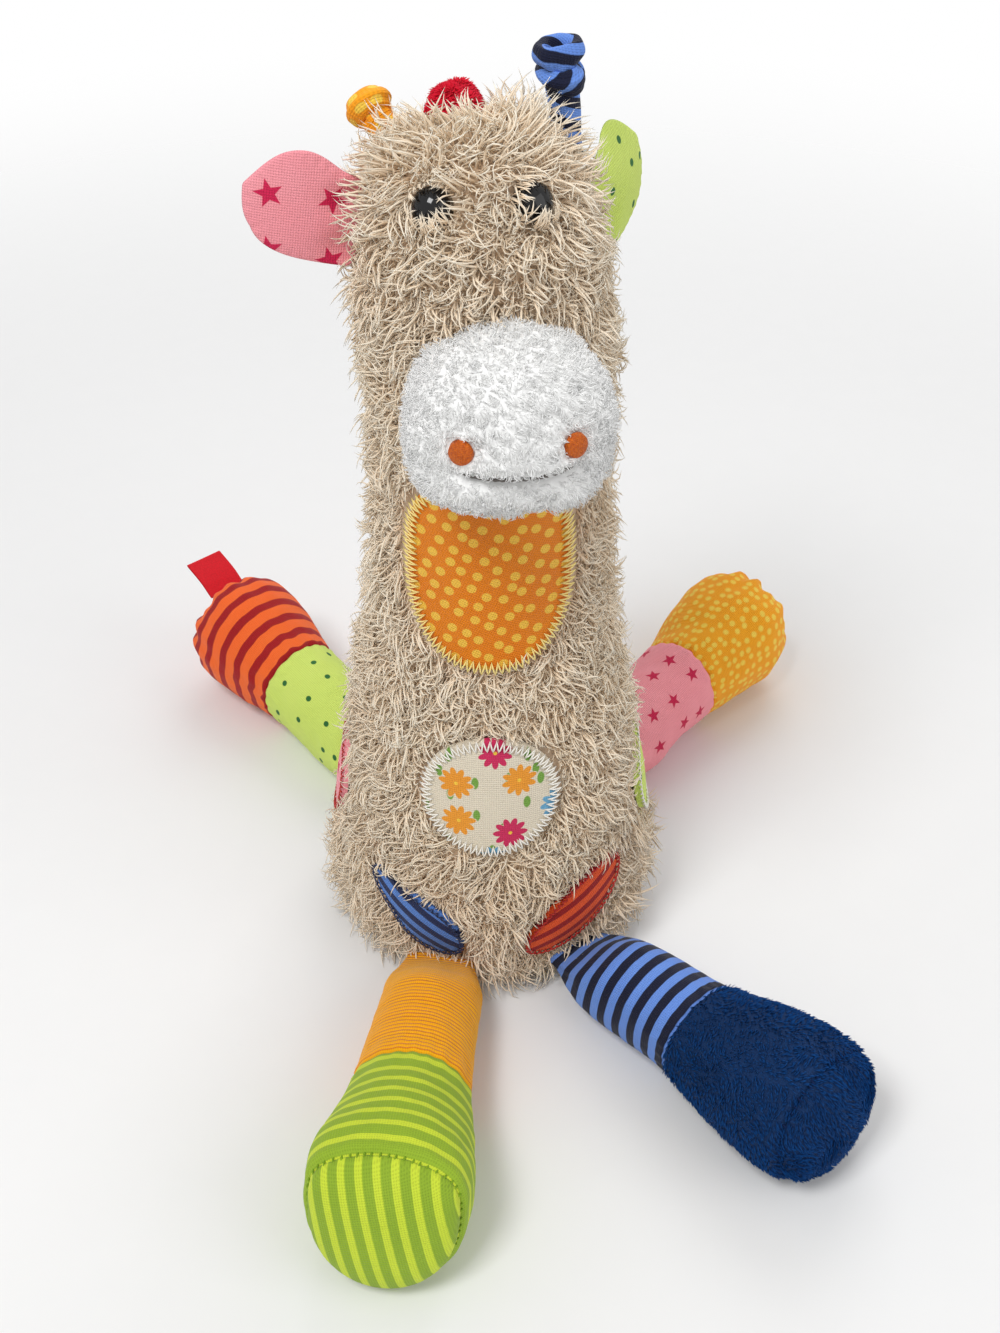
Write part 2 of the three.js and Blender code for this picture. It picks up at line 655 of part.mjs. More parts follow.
function outlineBetween(curve, start, end, count) {
  const low = curveShare(curve, start);
  const high = curveShare(curve, end);
  return Array.from({ length: count + 1 }, (_, i) => curve.getPoint(low + ((high - low) * i) / count));
}

function curveShare(curve, distance) {
  let low = 0;
  let high = 1;
  for (let i = 0; i < 40; i++) {
    const middle = (low + high) / 2;
    if (curve.getPoint(middle).y < distance) {
      low = middle;
    } else {
      high = middle;
    }
  }
  return high;
}

const inward = (points, depth) => points.map(({ x, y }) => point(Math.max(x - depth, 0), y));

// Sole: where the foot's cloth ends, and the bulged cap that closes it
function soleSeam({ upper, foot }) {
  return upper + foot - SOLE_BULGE;
}

function legProfiles(leg) {
  const { upper, foot, sole } = leg;
  const curve = legOutline(leg);
  const tip = upper + foot;
  const footEnd = sole ? soleSeam(leg) : tip;
  const cuffOut = upper - LEG_CUFF_GAP / 2;
  const cuffIn = upper + LEG_CUFF_GAP / 2;
  const upperSkin = outlineBetween(curve, -LEG_SEAM_T * 8, cuffOut, 7);
  const footSkin = outlineBetween(curve, cuffIn, footEnd, 8);
  const upperCore = outlineBetween(curve, LEG_HOLLOW_START, cuffOut, 5);
  const footCore = outlineBetween(curve, cuffIn, sole ? footEnd : tip - LEG_CLOTH_T, 5);
  const hollow = inward(upperCore, LEG_CLOTH_T);
  const footHollow = inward(footCore, LEG_CLOTH_T);
  const core = inward([...upperCore, ...footCore], LEG_CLOTH_T + LEG_FILLING_GAP);
  core[0].y += LEG_FILLING_GAP;
  core[core.length - 1].y -= LEG_FILLING_GAP;
  const seamR = footSkin[footSkin.length - 1].x;
  const footRim = [...footHollow.reverse(), footSkin[0]];
  return {
    upper: [point(0, upperSkin[0].y), ...upperSkin, ...hollow.reverse(), point(0, LEG_HOLLOW_START)],
    foot: sole ? [...footSkin, ...footRim] : [...footSkin.slice(0, -1), point(0, tip), ...footRim],
    filling: [point(0, core[0].y), ...core, point(0, core[core.length - 1].y)],
    sole: soleProfile(seamR, footEnd + LEG_CUFF_GAP),
  };
}

function soleProfile(seamR, start) {
  const dome = (radius, bulge, base) => Array.from({ length: 6 }, (_, i) => {
    const angle = (Math.PI / 2) * (i / 5);
    return point(i === 5 ? 0 : radius * Math.cos(angle), base + bulge * Math.sin(angle));
  });
  const radius = seamR - SOLE_SEAM_R_LOSS / 2;
  const bulge = SOLE_BULGE - LEG_CUFF_GAP;
  return [point(0, start), ...dome(radius, bulge, start)];
}

// A turned leg piece is flattened at the root, lifted to lie along the floor and leaned at its end
function settled(profile, leg) {
  const { rootR, footR, upper, foot, yaw, lean } = leg;
  const geometry = new THREE.LatheGeometry(profile, LEG_SIDES).rotateZ(-Math.PI / 2);
  const places = geometry.getAttribute('position');
  const thin = LEG_SEAM_T / 2 / rootR;
  const slope = (footR - FLOOR_CUT - LEG_ROOT_Z) / (upper + 0.66 * foot);
  for (let i = 0; i < places.count; i++) {
    const along = places.getX(i);
    const pinch = thin + (1 - thin) * smooth(along, 0, LEG_PINCH);
    const rise = places.getZ(i) * pinch;
    const ahead = along - rise * lean * smooth(along, upper, upper + foot);
    places.setXYZ(i, ahead, places.getY(i), rise + slope * Math.max(along, 0));
  }
  const solid = solidOf(geometry.rotateZ(radians(yaw)));
  const behindRoot = box(FAR, FAR, FAR, -FAR / 2, 0, 0);
  const underFloor = box(FAR, FAR, FAR, 0, 0, -LEG_ROOT_Z - FAR / 2);
  return solid.subtract(behindRoot).subtract(underFloor);
}

function legGroup(leg) {
  const { name, azimuth, upperColor, footColor, soleColor, sole } = leg;
  const { radius } = columnAt(LEG_ROOT_Z);
  const group = new THREE.Group();
  group.rotation.z = radians(azimuth);
  group.position.set(radius + LEG_ROOT_GAP, 0, LEG_ROOT_Z).applyAxisAngle(
    new THREE.Vector3(0, 0, 1), radians(azimuth));
  const profiles = legProfiles(leg);
  group.add(part(`leg_${name}`, settled(profiles.upper, leg), upperColor, 0.85));
  group.add(part(`foot_${name}`, settled(profiles.foot, leg), footColor, 0.85));
  group.add(part(`leg_filling_${name}`, settled(profiles.filling, leg), COLOR.filling, 1));
  if (sole) {
    group.add(part(`sole_${name}`, settled(profiles.sole, leg), soleColor, 0.85));
  }
  if (name === TAG_LEG) {
    group.add(tag(leg));
  }
  return group;
}

// Tag: a ribbon folded once, its two layers joined at the fold, standing out from the foot's end seam
function tag(leg) {
  const { footR, upper, foot } = leg;
  const curve = legOutline(leg);
  let share = 1;
  while (curve.getPoint(share).x < TAG_SEAM_R) {
    share -= 0.002;
  }
  const seam = curve.getPoint(share);
  const along = curve.getTangent(share);
  const slope = (footR - FLOOR_CUT - LEG_ROOT_Z) / (upper + 0.66 * foot);
  const group = new THREE.Group();
  group.position.set(seam.y - along.x * TAG_ROOT_GAP, 0, seam.x + slope * seam.y + along.y * TAG_ROOT_GAP);
  group.rotation.y = -radians(TAG_RISE);
  const outer = TAG_RIBBON_T + TAG_FOLD_GAP / 2;
  const inner = TAG_FOLD_GAP / 2;
  const fold = TAG_LENGTH - outer;
  const shape = new THREE.Shape();
  shape.moveTo(0, -outer);
  shape.lineTo(fold, -outer);
  shape.absarc(fold, 0, outer, -Math.PI / 2, Math.PI / 2);
  shape.lineTo(0, outer);
  shape.lineTo(0, inner);
  shape.lineTo(fold, inner);
  shape.absarc(fold, 0, inner, Math.PI / 2, -Math.PI / 2, true);
  shape.lineTo(0, -inner);
  const settings = { depth: TAG_WIDTH, bevelEnabled: false, curveSegments: 6 };
  const geometry = new THREE.ExtrudeGeometry(shape, settings).translate(0, 0, -TAG_WIDTH / 2);
  group.add(part('label_tag', solidOf(geometry.rotateX(Math.PI / 2)), COLOR.red, 0.7));
  return group;
}

const giraffe = new THREE.Group();
giraffe.name = 'plush_giraffe';
giraffe.add(torso(), head(), ...LEGS.map(legGroup));

export default giraffe;
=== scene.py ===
"""Dresses the plush giraffe: long pile, printed cloth legs, white muzzle, knotted horns, sewn patches.

Sizes are in millimetres in the classes below and become metres when a mesh is made. The toy sits at the
origin, faces -Y and has +Z up, as the solids of the frame do.
"""
import logging
import math
from dataclasses import dataclass
from enum import Enum

import bpy
import numpy as np
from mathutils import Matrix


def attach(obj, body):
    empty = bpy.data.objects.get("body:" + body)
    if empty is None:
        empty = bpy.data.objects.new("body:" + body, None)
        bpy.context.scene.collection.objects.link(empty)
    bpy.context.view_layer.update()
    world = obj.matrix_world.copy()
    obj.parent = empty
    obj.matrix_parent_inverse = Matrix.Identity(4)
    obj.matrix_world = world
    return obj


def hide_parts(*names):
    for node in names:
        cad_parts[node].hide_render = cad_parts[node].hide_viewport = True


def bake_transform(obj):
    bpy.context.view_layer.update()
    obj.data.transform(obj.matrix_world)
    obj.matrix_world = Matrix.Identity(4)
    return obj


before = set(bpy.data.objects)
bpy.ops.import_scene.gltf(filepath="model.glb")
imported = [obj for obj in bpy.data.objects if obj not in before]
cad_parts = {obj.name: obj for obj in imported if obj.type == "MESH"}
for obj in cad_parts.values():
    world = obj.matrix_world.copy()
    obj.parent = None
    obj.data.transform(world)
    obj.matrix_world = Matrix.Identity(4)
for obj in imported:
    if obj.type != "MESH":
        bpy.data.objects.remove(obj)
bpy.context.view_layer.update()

MM = 0.001
TAU = 2 * math.pi
log = logging.getLogger("giraffe")

Array = np.ndarray
Colour = tuple[float, float, float]
Screen = tuple[int, int, int]
Material = bpy.types.Material
Piece = bpy.types.Object


def srgb(red: int, green: int, blue: int) -> Colour:
    """Turn a screen colour of 0 to 255 into a linear one.

    Args:
        red: red part, 0 to 255.
        green: green part, 0 to 255.
        blue: blue part, 0 to 255.

    Returns:
        The linear colour, 0 to 1.
    """
    parts = np.array([red, green, blue]) / 255
    linear = np.where(parts <= 0.04045, parts / 12.92, ((parts + 0.055) / 1.055) ** 2.4)
    return tuple(float(x) for x in linear)


def smooth(value: Array, start: float, end: float) -> Array:
    """Rise from 0 at start to 1 at end along the cubic 3t^2 - 2t^3."""
    t = np.clip((np.asarray(value, float) - start) / (end - start), 0, 1)
    return t * t * (3 - 2 * t)


def bump_at(value: Array, centre: float, width: float) -> Array:
    """A bell of height 1 round a centre, exp(-(d / width)^2)."""
    return np.exp(-(((np.asarray(value, float) - centre) / width) ** 2))


def unit(vectors: Array) -> Array:
    """Scale vectors along the last axis to length 1."""
    return vectors / np.maximum(np.linalg.norm(vectors, axis=-1, keepdims=True), 1e-9)


def turn_z(points: Array, degrees: float) -> Array:
    """Turn points about +Z by an angle in degrees."""
    c, s = math.cos(math.radians(degrees)), math.sin(math.radians(degrees))
    return points @ np.array([[c, s, 0], [-s, c, 0], [0, 0, 1]])


def ripple(points: Array, seed: int, wavelength: float, waves: int = 10) -> Array:
    """Smooth noise near -1 to 1: a sum of plane waves in random directions.

    Args:
        points: places, in millimetres, with three numbers on the last axis.
        seed: picks the waves.
        wavelength: length of the longest wave, in millimetres.
        waves: how many waves are added.

    Returns:
        One number for each place.
    """
    rng = np.random.default_rng(seed)
    direction = unit(rng.normal(size=(waves, 3)))
    pitch = wavelength * rng.uniform(0.45, 1.0, waves)
    phase = rng.uniform(0, TAU, waves)
    swing = np.sin(points @ (direction / pitch[:, None] * TAU).T + phase)
    return swing.sum(axis=-1) / math.sqrt(waves / 2) / 1.6


def turn_flat(points: Array, degrees: float) -> Array:
    """Turn flat points by an angle in degrees."""
    c, s = math.cos(math.radians(degrees)), math.sin(math.radians(degrees))
    return points @ np.array([[c, s], [-s, c]])


def full_turn(count: int) -> Array:
    """Even angles round a full turn, in radians."""
    return np.arange(count) / count * TAU


def on_circle(angle: Array) -> Array:
    """Points of the unit circle at angles in radians."""
    return np.stack([np.cos(angle), np.sin(angle)], axis=-1)


def packed(*parts: Array) -> Array:
    """Put coordinates together on a new last axis, after stretching them to one shape."""
    return np.stack(np.broadcast_arrays(*parts), axis=-1)


def distances(points: Array) -> Array:
    """How far each point of a path lies from its start, along the path."""
    return np.concatenate([[0], np.cumsum(np.linalg.norm(np.diff(points, axis=0), axis=1))])


def seamed(flat: Array) -> Array:
    """Repeat the first column of a grid after its last, for cloth that meets itself in a seam."""
    return np.concatenate([flat, flat[:, :1]], axis=1)


class Outline:
    """A smooth curve through (radius, distance) stations, as a uniform Catmull-Rom spline."""

    def __init__(self, stations: list[tuple[float, float]]) -> None:
        """Keep the stations and a fine walk along the curve."""
        self.stations = np.array(stations, float)
        self.walk = self.at(np.linspace(0, 1, 4001))

    def at(self, share: Array) -> Array:
        """Points of the curve at shares of 0 to 1, by the Catmull-Rom cubic between stations.

        Args:
            share: shares of 0 to 1.

        Returns:
            The points.
        """
        p = self.stations
        n = len(p)
        place = np.clip(np.asarray(share, float), 0, 1) * (n - 1)
        i = np.minimum(place.astype(int), n - 2)
        t = (place - i)[..., None]
        before, here, after, beyond = (p[np.clip(i + k, 0, n - 1)] for k in (-1, 0, 1, 2))
        leave, arrive = (after - before) / 2, (beyond - here) / 2
        cube = 2 * here - 2 * after + leave + arrive
        square = 3 * after - 3 * here - 2 * leave - arrive
        return ((cube * t + square) * t + leave) * t + here

    def radius(self, distance: Array) -> Array:
        """Radius where the curve passes a distance."""
        return np.interp(distance, self.walk[:, 1], self.walk[:, 0])

    def slope(self, distance: Array) -> Array:
        """Change of radius for each millimetre of distance."""
        return (self.radius(np.asarray(distance) + 0.5) - self.radius(np.asarray(distance) - 0.5))


def new_object(name: str, points: Array, quads: Array, tris: Array, finish: Material,
               corner: Array | None = None, tone: dict[str, Array] | None = None) -> Piece:
    """Make a mesh object from whole arrays.

    Args:
        name: name of the piece.
        points: corners in millimetres, one row each.
        quads: rows of four corner numbers.
        tris: rows of three corner numbers.
        finish: material of the piece.
        corner: cloth coordinates in millimetres for each face corner, quads first.
        tone: named numbers for each point.

    Returns:
        The object, linked to the scene.
    """
    mesh = bpy.data.meshes.new(name)
    quads, tris = quads.reshape(-1, 4), tris.reshape(-1, 3)
    loops = np.concatenate([quads.ravel(), tris.ravel()]).astype(np.int32)
    starts = np.concatenate([np.arange(len(quads)) * 4, quads.size + np.arange(len(tris)) * 3])
    mesh.vertices.add(len(points))
    mesh.vertices.foreach_set("co", (np.asarray(points, np.float32) * MM).ravel())
    mesh.loops.add(len(loops))
    mesh.loops.foreach_set("vertex_index", loops)
    mesh.polygons.add(len(starts))
    mesh.polygons.foreach_set("loop_start", starts.astype(np.int32))
    mesh.update(calc_edges=True)
    if corner is not None:
        cloth = np.zeros((len(loops), 3), np.float32)
        cloth[:, :2] = corner
        mesh.attributes.new("cloth", "FLOAT_VECTOR", "CORNER").data.foreach_set("vector", cloth.ravel())
    for key, values in (tone or {}).items():
        layer = mesh.attributes.new(key, "FLOAT", "POINT")
        layer.data.foreach_set("value", np.asarray(values, np.float32).ravel())
    mesh.validate()
    mesh.shade_smooth()
    mesh.materials.append(finish)
    made = bpy.data.objects.new(name, mesh)
    bpy.context.scene.collection.objects.link(made)
    return made


def cells(rows: int, cols: int, spans: int) -> tuple[Array, Array, Array]:
    """Row, column and four corner numbers of each cell of a grid whose columns may wrap round.

    Args:
        rows: rows of points.
        cols: columns of points.
        spans: cells in each row.

    Returns:
        One entry, or row of corners, for each cell.
    """
    i, j = (a.ravel() for a in np.meshgrid(np.arange(rows - 1), np.arange(spans), indexing="ij"))
    k = (j + 1) % cols
    return i, j, np.stack([i * cols + j, i * cols + k, (i + 1) * cols + k, (i + 1) * cols + j], axis=1)


def surface(name: str, points: Array, finish: Material, cloth: Array | None = None, wrap: bool = True,
            closed: tuple[bool, bool] = (True, True)) -> Piece:
    """A grid of points as one skin; rows run along it and columns run around it.

    Args:
        name: name of the piece.
        points: places of shape (rows, columns, 3).
        finish: material of the piece.
        cloth: cloth coordinates of shape (rows, columns + 1, 2), or (rows, columns, 2) without wrap.
        wrap: whether the last column joins the first.
        closed: whether a pole closes the first row and the last row.

    Returns:
        The object.
    """
    rows, cols = points.shape[:2]
    spans = cols if wrap else cols - 1
    i, j, quads = cells(rows, cols, spans)
    ring = np.arange(spans)
    sides = ring, (ring + 1) % cols
    flat, tris, corner = [points.reshape(-1, 3)], [np.zeros((0, 3), int)], []
    if cloth is not None:
        corner.append(np.stack([cloth[i, j], cloth[i, j + 1], cloth[i + 1, j + 1], cloth[i + 1, j]], axis=1))
    for wanted, row, order in ((closed[0], 0, -1), (closed[1], rows - 1, 1)):
        if wanted:
            pole = np.full(spans, rows * cols + len(flat) - 1)
            flat.append(points[row].mean(axis=0, keepdims=True))
            tris.append(np.stack([*(row * cols + side for side in sides[::order]), pole], axis=1))
            if cloth is not None:
                pair = cloth[row, ring], cloth[row, ring + 1]
                corner.append(np.stack([*pair[::order], (pair[0] + pair[1]) / 2], axis=1))
    loops = np.concatenate([part.reshape(-1, 2) for part in corner]) if corner else None
    return new_object(name, np.concatenate(flat), quads, np.concatenate(tris), finish, loops)


def tube(path: Array, radius: Array | float, sides: int) -> Array:
    """A ring of points round every step of a path.

    The side vector of a step is the last step's with its part along the path taken out.

    Args:
        path: points of shape (steps, 3).
        radius: one radius, or a radius for each step and side.
        sides: how many points a ring has.

    Returns:
        Points of shape (steps, sides, 3).
    """
    along = unit(np.gradient(path, axis=0))
    last = np.array([0.0, 0.0, 1.0]) if abs(along[0, 2]) < 0.9 else np.array([1.0, 0.0, 0.0])
    side = np.zeros_like(path)
    for step, ahead in enumerate(along):
        side[step] = last = unit(last - (last @ ahead) * ahead)
    angle = full_turn(sides)[:, None]
    ring = np.cos(angle) * side[:, None] + np.sin(angle) * np.cross(along, side)[:, None]
    return path[:, None] + np.broadcast_to(radius, (len(path), sides))[..., None] * ring


def strands(name: str, paths: Array, radius: Array, finish: Material, shade: Array, sides: int = 3) -> Piece:
    """Many tapering threads as one mesh, each ending in a point.

    Each thread is a tube of few sides along its own path: radius * (1 - s^3) at share s of its length.

    Args:
        name: name of the piece.
        paths: points of shape (threads, steps, 3), in millimetres.
        radius: radius at the root of each thread.
        finish: material of the threads.
        shade: a number of 0 to 1 for each thread, for its colour.
        sides: sides of each thread.

    Returns:
        The object.
    """
    count, steps = paths.shape[:2]
    share = np.linspace(0, 1, steps)
    along = unit(np.gradient(paths, axis=1))
    steep = np.abs(unit(along.mean(axis=1))[:, 2:]) >= 0.8
    side = unit(np.cross(along, np.where(steep, [[1.0, 0.0, 0.0]], [[0.0, 0.0, 1.0]])[:, None]))
    other = np.cross(along, side)
    angle = full_turn(sides)[:, None]
    wide = (radius[:, None] * (1 - share[:-1] ** 3))[..., None, None]
    ring = np.cos(angle) * side[:, :-1, None] + np.sin(angle) * other[:, :-1, None]
    body = paths[:, :-1, None] + wide * ring
    points = np.concatenate([body.reshape(count, -1, 3), paths[:, -1:]], axis=1)
    each = points.shape[1]
    _, _, quad = cells(steps - 1, sides, sides)
    last, ends = (steps - 2) * sides, np.arange(sides)
    tri = np.stack([last + ends, last + (ends + 1) % sides, np.full(sides, each - 1)], axis=1)
    shift = (np.arange(count) * each)[:, None, None]
    tip = np.concatenate([np.repeat(share[:-1], sides), [1.0]])
    tone = {"tip": np.tile(tip, count), "shade": np.repeat(shade, each)}
    return new_object(name, points.reshape(-1, 3), quad + shift, tri + shift, finish, tone=tone)


def claim(piece: Piece, slot: str, body: str | None, *nodes: str, fill: float | None = None) -> Piece:
    """Hide the nodes that a piece stands for and attach it to the body that it rides on.

    Args:
        piece: the piece.
        slot: its material slot; not used.
        body: body that it rides on, or None where it rides on none.
        nodes: nodes that it stands for.
        fill: how full it is stuffed, if it is; not used.

    Returns:
        The piece.
    """
    if nodes:
        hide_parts(*nodes)
    if body:
        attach(piece, body)
    return piece


class Field:
    """One value, colour or vector of a material, on which Python's operators add nodes."""

    def __init__(self, graph: "Graph", socket: bpy.types.NodeSocket) -> None:
        """Wrap an output socket."""
        self.graph, self.socket = graph, socket

    def other(self, output: int | str) -> "Field":
        """Another output of the same node."""
        return Field(self.graph, self.socket.node.outputs[output])

    def math(self, operation: str, *others: "Field | float", clamp: bool = False) -> "Field":
        """Add a Math node whose first input is this value.

        Args:
            operation: name of the operation.
            others: second and third inputs.
            clamp: whether the result is held to 0 to 1.

        Returns:
            The result.
        """
        settings = {"operation": operation, "use_clamp": clamp}
        return self.graph.node("ShaderNodeMath", settings, dict(enumerate((self, *others))))

    def __add__(self, other: "Field | float") -> "Field":
        """This plus other."""
        return self.math("ADD", other)

    def __sub__(self, other: "Field | float") -> "Field":
        """This minus other."""
        return self.math("SUBTRACT", other)

    def __rsub__(self, other: float) -> "Field":
        """A number minus this."""
        return self.graph.node("ShaderNodeMath", {"operation": "SUBTRACT"}, {0: other, 1: self})

    def __mul__(self, other: "Field | float") -> "Field":
        """This times other."""
        return self.math("MULTIPLY", other)

    def __truediv__(self, other: "Field | float") -> "Field":
        """This divided by other."""
        return self.math("DIVIDE", other)

    __radd__ = __add__
    __rmul__ = __mul__

    def step(self, low: float, high: float) -> "Field":
        """Rise smoothly from 0 at low to 1 at high."""
        inputs = {"Value": self, "From Min": low, "From Max": high}
        return self.graph.node("ShaderNodeMapRange", {"interpolation_type": "SMOOTHSTEP"}, inputs)

    def fall(self, low: float, high: float) -> "Field":
        """Fall smoothly from 1 at low to 0 at high."""
        return 1 - self.step(low, high)

    def wave(self, pitch: float) -> "Field":
        """A sine of the given pitch, from -1 to 1."""
        return (self * (TAU / pitch)).math("SINE")

    def stripe(self, pitch: float, share: float, edge: float) -> "Field":
        """1 on bands that take up a share of each pitch and 0 between them, with soft edges."""
        off, half = ((self / pitch).math("FRACT") - 0.5).math("ABSOLUTE") * pitch, share * pitch / 2
        return off.fall(half - edge, half + edge)


class Graph:
    """A tree of shader nodes."""

    def __init__(self, tree: bpy.types.NodeTree) -> None:
        """Wrap the tree."""
        self.tree = tree

    def node(self, kind: str, settings: dict | None = None, inputs: dict | None = None,
             output: int | str = 0) -> Field:
        """Add any node.

        Args:
            kind: type of the node.
            settings: properties of the node, which are set first.
            inputs: values or fields for its sockets, by name or number.
            output: which output to give back.

        Returns:
            The chosen output.
        """
        made = self.tree.nodes.new(kind)
        for key, value in (settings or {}).items():
            setattr(made, key, value)
        for key, value in (inputs or {}).items():
            if isinstance(value, Field):
                self.tree.links.new(value.socket, made.inputs[key])
            else:
                made.inputs[key].default_value = value
        return Field(self, made.outputs[output])


class Recipe(Graph):
    """A material under construction: a Principled shader and the nodes that feed it."""

    def __init__(self, name: str, **constants: float | tuple) -> None:
        """Start the material and set the shader's plain sockets.

        Args:
            name: name of the material.
            constants: values of the shader's sockets, with _ for a space.
        """
        self.material = bpy.data.materials.new(name)
        self.material.use_nodes = True
        super().__init__(self.material.node_tree)
        self.shader = self.tree.nodes["Principled BSDF"]
        for key, value in constants.items():
            self.shader.inputs[key.replace("_", " ")].default_value = value

    def attribute(self, name: str, vector: bool = False) -> Field:
        """A number or a vector that the mesh carries."""
        output = "Vector" if vector else "Fac"
        return self.node("ShaderNodeAttribute", {"attribute_name": name}, output=output)

    def place(self) -> Field:
        """The place on the object, in metres."""
        return self.node("ShaderNodeTexCoord", output="Object")

    def scaled(self, vector: Field, scale: float | tuple) -> Field:
        """A vector times a number, or part by part times three."""
        three = scale if isinstance(scale, tuple) else (scale,) * 3
        return self.node("ShaderNodeVectorMath", {"operation": "MULTIPLY"}, {0: vector, 1: three})

    def split(self, vector: Field) -> tuple[Field, Field]:
        """The first two parts of a vector."""
        made = self.node("ShaderNodeSeparateXYZ", inputs={0: vector})
        return made, made.other(1)

    def noise(self, vector: Field, scale: float, detail: float = 2) -> Field:
        """Cloudy noise of 0 to 1."""
        return self.node("ShaderNodeTexNoise", inputs={"Vector": vector, "Scale": scale, "Detail": detail})

    def mix(self, share: Field, first: Field | Colour, second: Field | Colour,
            blend: str = "MIX") -> Field:
        """Go from a first colour to a second by a share of 0 to 1.

        Args:
            share: how much of the second.
            first: first colour.
            second: second colour.
            blend: how the second is laid on.

        Returns:
            The colour.
        """
        first, second = (c if isinstance(c, Field) else (*c, 1) for c in (first, second))
        settings = {"data_type": "RGBA", "blend_type": blend}
        return self.node("ShaderNodeMix", settings, {"Factor": share, 6: first, 7: second}, output=2)

    def feed(self, socket: str, value: Field) -> None:
        """Let a field drive one of the shader's sockets."""
        self.tree.links.new(value.socket, self.shader.inputs[socket])

    def relief(self, height: Field, depth: float) -> None:
        """Bump the surface by a height field; depth is in metres."""
        inputs = {"Height": height, "Distance": depth, "Strength": 1}
        self.feed("Normal", self.node("ShaderNodeBump", inputs=inputs))


@dataclass(frozen=True)
class Pile:
    """Threads of a plush: dark at the root, pale at the tip, each thread a little different. The darker root
    is partly the yarn's own colour and partly painted shade deep in the pile.
    """

    name: str
    root: Screen
    body: Screen
    tip: Screen
    # low and low_height: colour and top of the painted shade on the pile near the floor.
    low: Screen | None = None
    low_height: float = 120.0
    sheen: float = 0.4

    def material(self) -> Material:
        """Colour by the tip and shade numbers of each thread, and by height, where painted shade darkens the
        pile low down.

        Returns:
            The material.
        """
        root, body, pale = (srgb(*colour) for colour in (self.root, self.body, self.tip))
        make = Recipe(self.name, Roughness=0.75, Sheen_Weight=self.sheen, Sheen_Roughness=0.4,
                      Specular_IOR_Level=0.2, Sheen_Tint=(*pale, 1))
        tip, shade = make.attribute("tip"), make.attribute("shade")
        # Root colour near the skin: partly the yarn's own, partly painted shade deep in the pile.
        colour = make.mix(tip.step(0.0, 0.45), root, body)
        colour = make.mix(tip.step(0.35, 1.0) * (0.35 + shade * 0.65), colour, pale)
        patchy = make.noise(make.place(), 28.0, 3)
        colour = make.mix(patchy.step(0.42, 0.68) * 0.3, colour, root)
        # Painted shade: below low_height the pile is multiplied by the low colour, darker towards the floor.
        if self.low is not None:
            upward = make.node("ShaderNodeSeparateXYZ", inputs={0: make.place()}, output=2)
            painted_low_shade = upward.fall(0.02, self.low_height * MM) * 0.45
            colour = make.mix(painted_low_shade, colour, srgb(*self.low), "MULTIPLY")
        make.feed("Base Color", make.mix(shade.fall(0.0, 0.35) * 0.4, colour, root))
        return make.material


class Print(Enum):
    """What is printed on, or woven into, a cloth."""

    PLAIN = "plain"
    DOTS = "dots"
    STARS = "stars"
    BANDS = "bands"
    RIBS = "ribs"
    FLOWERS = "flowers"


